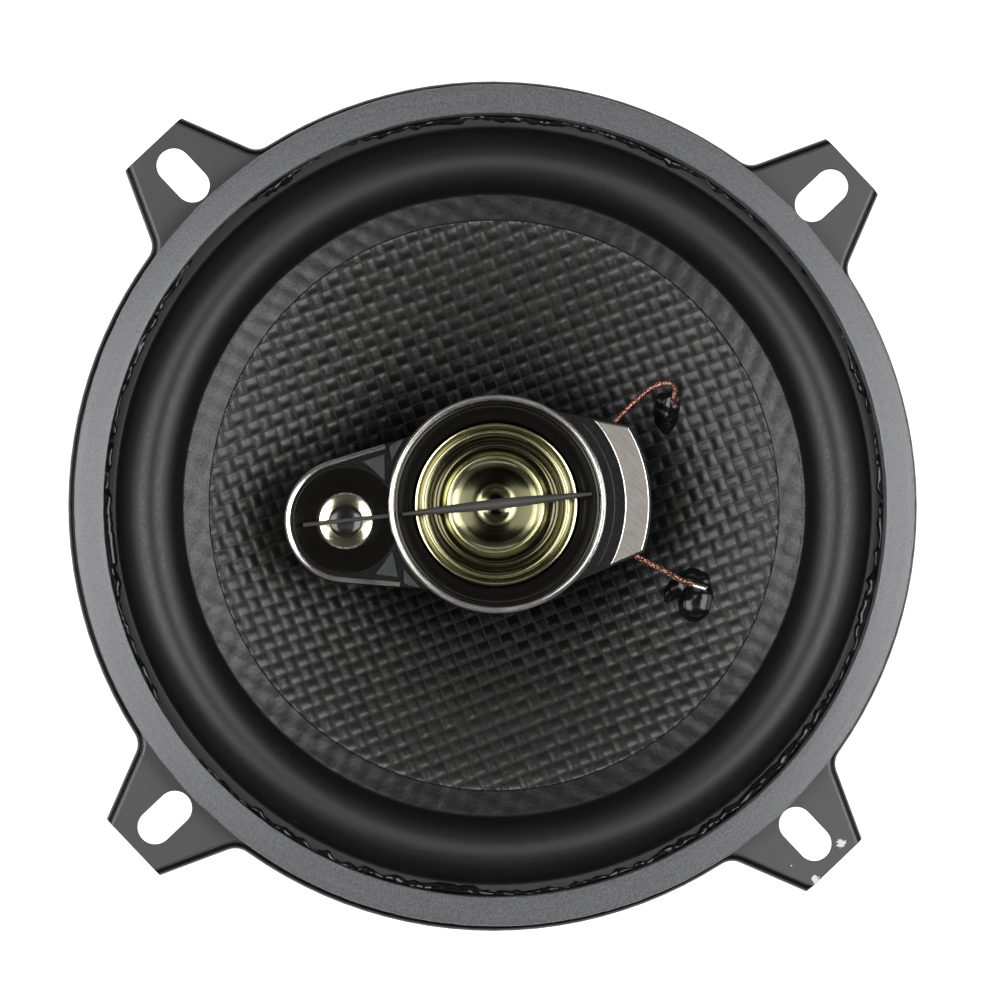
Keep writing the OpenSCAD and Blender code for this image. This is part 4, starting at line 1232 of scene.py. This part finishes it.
    def bar(self, name: str, node: str, length: float, mid_w: float, end_w: float, at_x: float,
            groove: bool) -> None:
        """A thin bar across a funnel, fuller in its middle, or with a groove along its crest."""
        z0, z1 = (corner.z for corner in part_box(node))
        bpy.ops.object.select_all(action="DESELECT")
        bpy.ops.mesh.primitive_cube_add(size=1)
        piece = bpy.context.object
        start_edit()
        bpy.ops.mesh.subdivide(number_cuts=15)
        end_edit()
        p = points_of(piece)
        part = 2 * p[:, 0]
        wide = end_w + (mid_w - end_w) * (1 - np.abs(part) ** 1.4)
        crest = np.where(p[:, 2] > 0.4, 0.35 * MM * (2 * np.abs(p[:, 1])) ** 2, 0)
        if groove:
            crest = np.where((p[:, 2] > 0.4) & (np.abs(p[:, 1]) < 0.16), 0.25 * MM, crest * 0.5)
        p[:, 0], p[:, 1] = p[:, 0] * length, p[:, 1] * wide
        p[:, 2] = z0 + (p[:, 2] + 0.5) * (z1 - z0) - crest
        move_points(piece, np.array(turned_in([(x + at_x, y, z) for x, y, z in p], self.turn)))
        settle(piece, name, 40)
        report(piece, BAR_PLASTIC, Body.FRAME, "black_plastic", node)

    def tweeter(self) -> None:
        """Makes the tweeter: funnel, gold diaphragm and bar; its motor keeps the CAD shapes."""
        low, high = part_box("tweeter_waveguide")
        inner = float(np.hypot(*points_of(self.frame["nodes"]["tweeter_waveguide"])[:, :2].T).min())
        outer, wall, seat = high.x, 14.7 * MM, self.face + 0.03 * MM
        line = [(inner, low.z), (wall, low.z), (wall, seat), (outer, seat), (outer, high.z - 0.1 * MM),
                (outer - 0.1 * MM, high.z), (outer - 0.35 * MM, high.z - 0.05 * MM)]
        line += curve_points([(outer - 0.5 * MM, high.z - 0.3 * MM), (14.2 * MM, low.z + 2.3 * MM),
                              (13.2 * MM, low.z + 1.5 * MM), (inner + 0.1 * MM, low.z + 1.1 * MM)], 4)
        funnel = lathe("tweeter_funnel", line, 192, smooth=40)
        report(funnel, PLASTIC, Body.FRAME, "black_plastic", "tweeter_waveguide")
        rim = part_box("tweeter_diaphragm")[1].x
        z = low.z + 0.7 * MM
        ridge = [(rim / MM, 0.5), (11.9, 0.35), (11.3, -0.3), (10.8, -0.38), (10.2, -0.1),
                 (9.5, 0.48), (8.9, 0.55), (8.4, 0.3), (7.6, -0.55), (7.2, -0.72)]
        eye, crown = 2.6, 0.47
        slope = [(float(r), crown - 0.087 * (r - eye) - 0.0356 * (r - eye) ** 2)
                 for r in np.linspace(6.8, eye, 9)]
        cap = [(float(r), crown + (eye * eye - r * r) / 12) for r in np.linspace(eye - 0.3, 0.2, 7)]
        smooth = [(r * MM, z + h * MM) for r, h in [*curve_points([*ridge, slope[0]], 4), *slope[1:], *cap]]
        smooth.append((0.0, z + (crown + eye * eye / 12) * MM))
        film = lathe("gold_diaphragm", smooth, 160, closed=False, smooth=60)
        apply_modifier(film, "SOLIDIFY", thickness=self.film, offset=-1)
        settle(film, "gold_diaphragm", 60)
        report(film, GOLD, Body.TWEETER, "gold_film", "tweeter_diaphragm")
        self.bar("tweeter_bridge", "tweeter_bar", 29 * MM, 1.6 * MM, 0.55 * MM, 0, False)
        for node, finish in (("tweeter_yoke", ZINC), ("tweeter_magnet", NICKEL), ("tweeter_pole_plate", ZINC),
                             ("tweeter_coil", WIRE), ("tweeter_capacitor", SLEEVE)):
            finish.dress(self.frame["nodes"][node])

    def super_tweeter(self) -> None:
        """Makes the small tweeter: funnel, gold ring, dark dome and bar."""
        horn = refined(self.frame, "super_tweeter_horn", "small_funnel", 0.1, 60)
        report(horn, PLASTIC, Body.FRAME, "black_plastic")
        low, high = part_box("super_tweeter_diaphragm")
        spot = ((low.x + high.x) / 2, (low.y + high.y) / 2)
        r = (high.x - low.x) / 2
        steps = ((1, 0), (0.88, 0.09), (0.72, 0.24), (0.6, 0.40), (0.52, 0.6), (0.5, 0.9))
        line = curve_points([(r * part, high.z - drop * MM) for part, drop in steps], 4)
        ring = lathe("small_gold_ring", line, 96, closed=False, smooth=60, center=spot)
        apply_modifier(ring, "SOLIDIFY", thickness=self.film, offset=-1)
        settle(ring, "small_gold_ring", 60)
        gold = TurnedMetal("gold_film_small", (0.86, 0.82, 0.55), 0.14, 1.0,
                           mottle=0.1, relief=0.003 * MM, center=spot)
        report(ring, gold, Body.SUPER, "gold_film", "super_tweeter_diaphragm")
        size, foot = r * 0.64, high.z - 0.36 * MM
        low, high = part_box("super_tweeter_dome")
        cap = [(size * 1.04, foot - 0.15 * MM)]
        cap += [(size * math.cos(a), foot + (high.z - foot) * math.sin(a)) for a in np.linspace(0, 1.45, 12)]
        dome = lathe("small_dark_dome", [*cap, (0.0, high.z)], 96, closed=False, smooth=60, center=spot)
        apply_modifier(dome, "SOLIDIFY", thickness=0.12 * MM, offset=-1)
        settle(dome, "small_dark_dome", 60)
        report(dome, DARK_DOME, Body.SUPER, "dark_dome", "super_tweeter_dome")
        self.bar("small_bridge", "super_tweeter_bar", 13.2 * MM, 0.62 * MM, 0.58 * MM, -self.small_x, True)
        TINNED.dress(self.frame["nodes"]["piezo_disc"])


@dataclass
class Motor:
    """The magnet between its steel plates, and the rivets."""

    frame: dict

    def build(self) -> None:
        """Eases the edges of the motor's pieces and dresses them."""
        ease_all(self.frame, (
            ("top_plate", "front_plate", ZINC, "plated_steel", 0.25),
            ("magnet", "ferrite_ring", FERRITE, "ferrite", 0.4),
            ("t_yoke", "back_plate", ZINC, "plated_steel", 0.3),
            ("basket_rivets", "frame_rivets", ZINC, "plated_steel", 0.12),
        ))


@dataclass
class Terminals:
    """The board on the frame's leg, its two blades and their eyelets."""

    frame: dict

    def build(self) -> None:
        """Eases the edges of the terminal pieces and dresses them."""
        ease_all(self.frame, (
            ("terminal_board", "connector_board", PHENOLIC, "phenolic_board", 0.15),
            ("terminal_positive", "wide_blade", TINNED, "tinned_brass", 0.15),
            ("terminal_negative", "narrow_blade", TINNED, "tinned_brass", 0.15),
            ("terminal_eyelets", "blade_eyelets", TINNED, "tinned_brass", 0.1),
            ("terminal_rivet", "board_rivet", ZINC, "plated_steel", 0.2),
        ))


@dataclass
class Studio:
    """Pale floor, soft boxes on both sides and the camera."""

    view_turn: float = -43.36
    lean_right: float = -3.4
    lean_up: float = -1.6
    distance: float = 0.95
    view_w: float = 152.7 * MM
    aim: Point3 = (0.8 * MM, 0.78 * MM, 0.9 * MM)
    glow: float = 0.035

    def build(self) -> None:
        """Sets the stage."""
        self.camera()
        self.floor()
        self.light("box_left", (-0.42, -0.02, 0.78), (0.46, 0.52), 3.8)
        self.light("box_right", (0.42, -0.02, 0.78), (0.46, 0.52), 3.8)
        self.light("card_above", (0.03, -0.12, 0.97), (0.3, 0.16), 0.07)
        self.light("strip_left", (-0.80, 0.0, 0.52), (0.24, 0.5), 0.7)
        self.light("strip_right", (0.80, 0.0, 0.52), (0.24, 0.5), 0.7)
        self.light("edge_front", (0.0, -0.64, 0.60), (0.8, 0.05), 0.15)
        self.light("edge_back", (0.0, 0.64, 0.60), (0.8, 0.05), 0.15)
        world = bpy.data.worlds.new("studio")
        bpy.context.scene.world = world
        world.use_nodes = True
        sky = world.node_tree.nodes["Background"].inputs
        sky["Color"].default_value = (0.9, 0.93, 0.97, 1)
        sky["Strength"].default_value = self.glow
        bpy.context.scene.view_settings.view_transform = "Standard"

    def spin(self) -> Matrix:
        """The turn from the picture's directions to the row's."""
        return Matrix.Rotation(math.radians(self.view_turn), 3, "Z")

    def camera(self) -> None:
        """Looks down on the speaker's face from a little left of and below its axis."""
        data = bpy.data.cameras.new("camera")
        made = bpy.data.objects.new("camera", data)
        bpy.context.scene.collection.objects.link(made)
        target = self.spin() @ Vector(self.aim)
        lean = [math.sin(math.radians(angle)) for angle in (self.lean_right, self.lean_up)]
        away = Vector((*lean, 1)).normalized()
        made.location = target + self.spin() @ away * self.distance
        back = (made.location - target).normalized()
        right = self.spin() @ Vector((1, 0, 0))
        right = (right - back * right.dot(back)).normalized()
        up = back.cross(right)
        made.rotation_euler = Matrix((right, up, back)).transposed().to_euler()
        data.sensor_width = 36
        data.lens = data.sensor_width * self.distance / self.view_w
        data.clip_start = 0.01
        bpy.context.scene.camera = made

    def light(self, name: str, at: Point3, size: Point, power: float) -> None:
        """A soft box at a place in the picture's directions, turned to the speaker."""
        data = bpy.data.lights.new(name, "AREA")
        data.shape = "RECTANGLE"
        data.size, data.size_y = size
        data.energy = power
        made = bpy.data.objects.new(name, data)
        bpy.context.scene.collection.objects.link(made)
        made.location = self.spin() @ Vector(at)
        back = Vector(made.location).normalized()
        tall = self.spin() @ Vector((0, 1, 0))
        tall = (tall - back * tall.dot(back)).normalized()
        made.rotation_euler = Matrix((tall.cross(back), tall, back)).transposed().to_euler()

    def floor(self) -> None:
        """A wide pale table just under the magnet."""
        bpy.ops.object.select_all(action="DESELECT")
        bpy.ops.mesh.primitive_plane_add(size=6)
        made = bpy.context.object
        made.name = "table"
        made.location.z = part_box("t_yoke")[0].z - 0.2 * MM
        g = Graph("table_white")
        g.set(Base_Color=(0.9, 0.9, 0.9, 1), Roughness=0.7,
              Emission_Color=(1, 1, 1, 1), Emission_Strength=0.85)
        made.data.materials.append(g.material)


def main() -> None:
    """Builds the speaker's sub-assemblies in order."""
    logging.basicConfig(level=logging.INFO, format="%(message)s")
    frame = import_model()
    FrameRing(frame).build()
    cone = ConeAssembly(frame)
    cone.build()
    Leads(frame, cone).build()
    Pod(frame).build()
    Motor(frame).build()
    Terminals(frame).build()
    Studio().build()


if __name__ == "__main__":
    main()
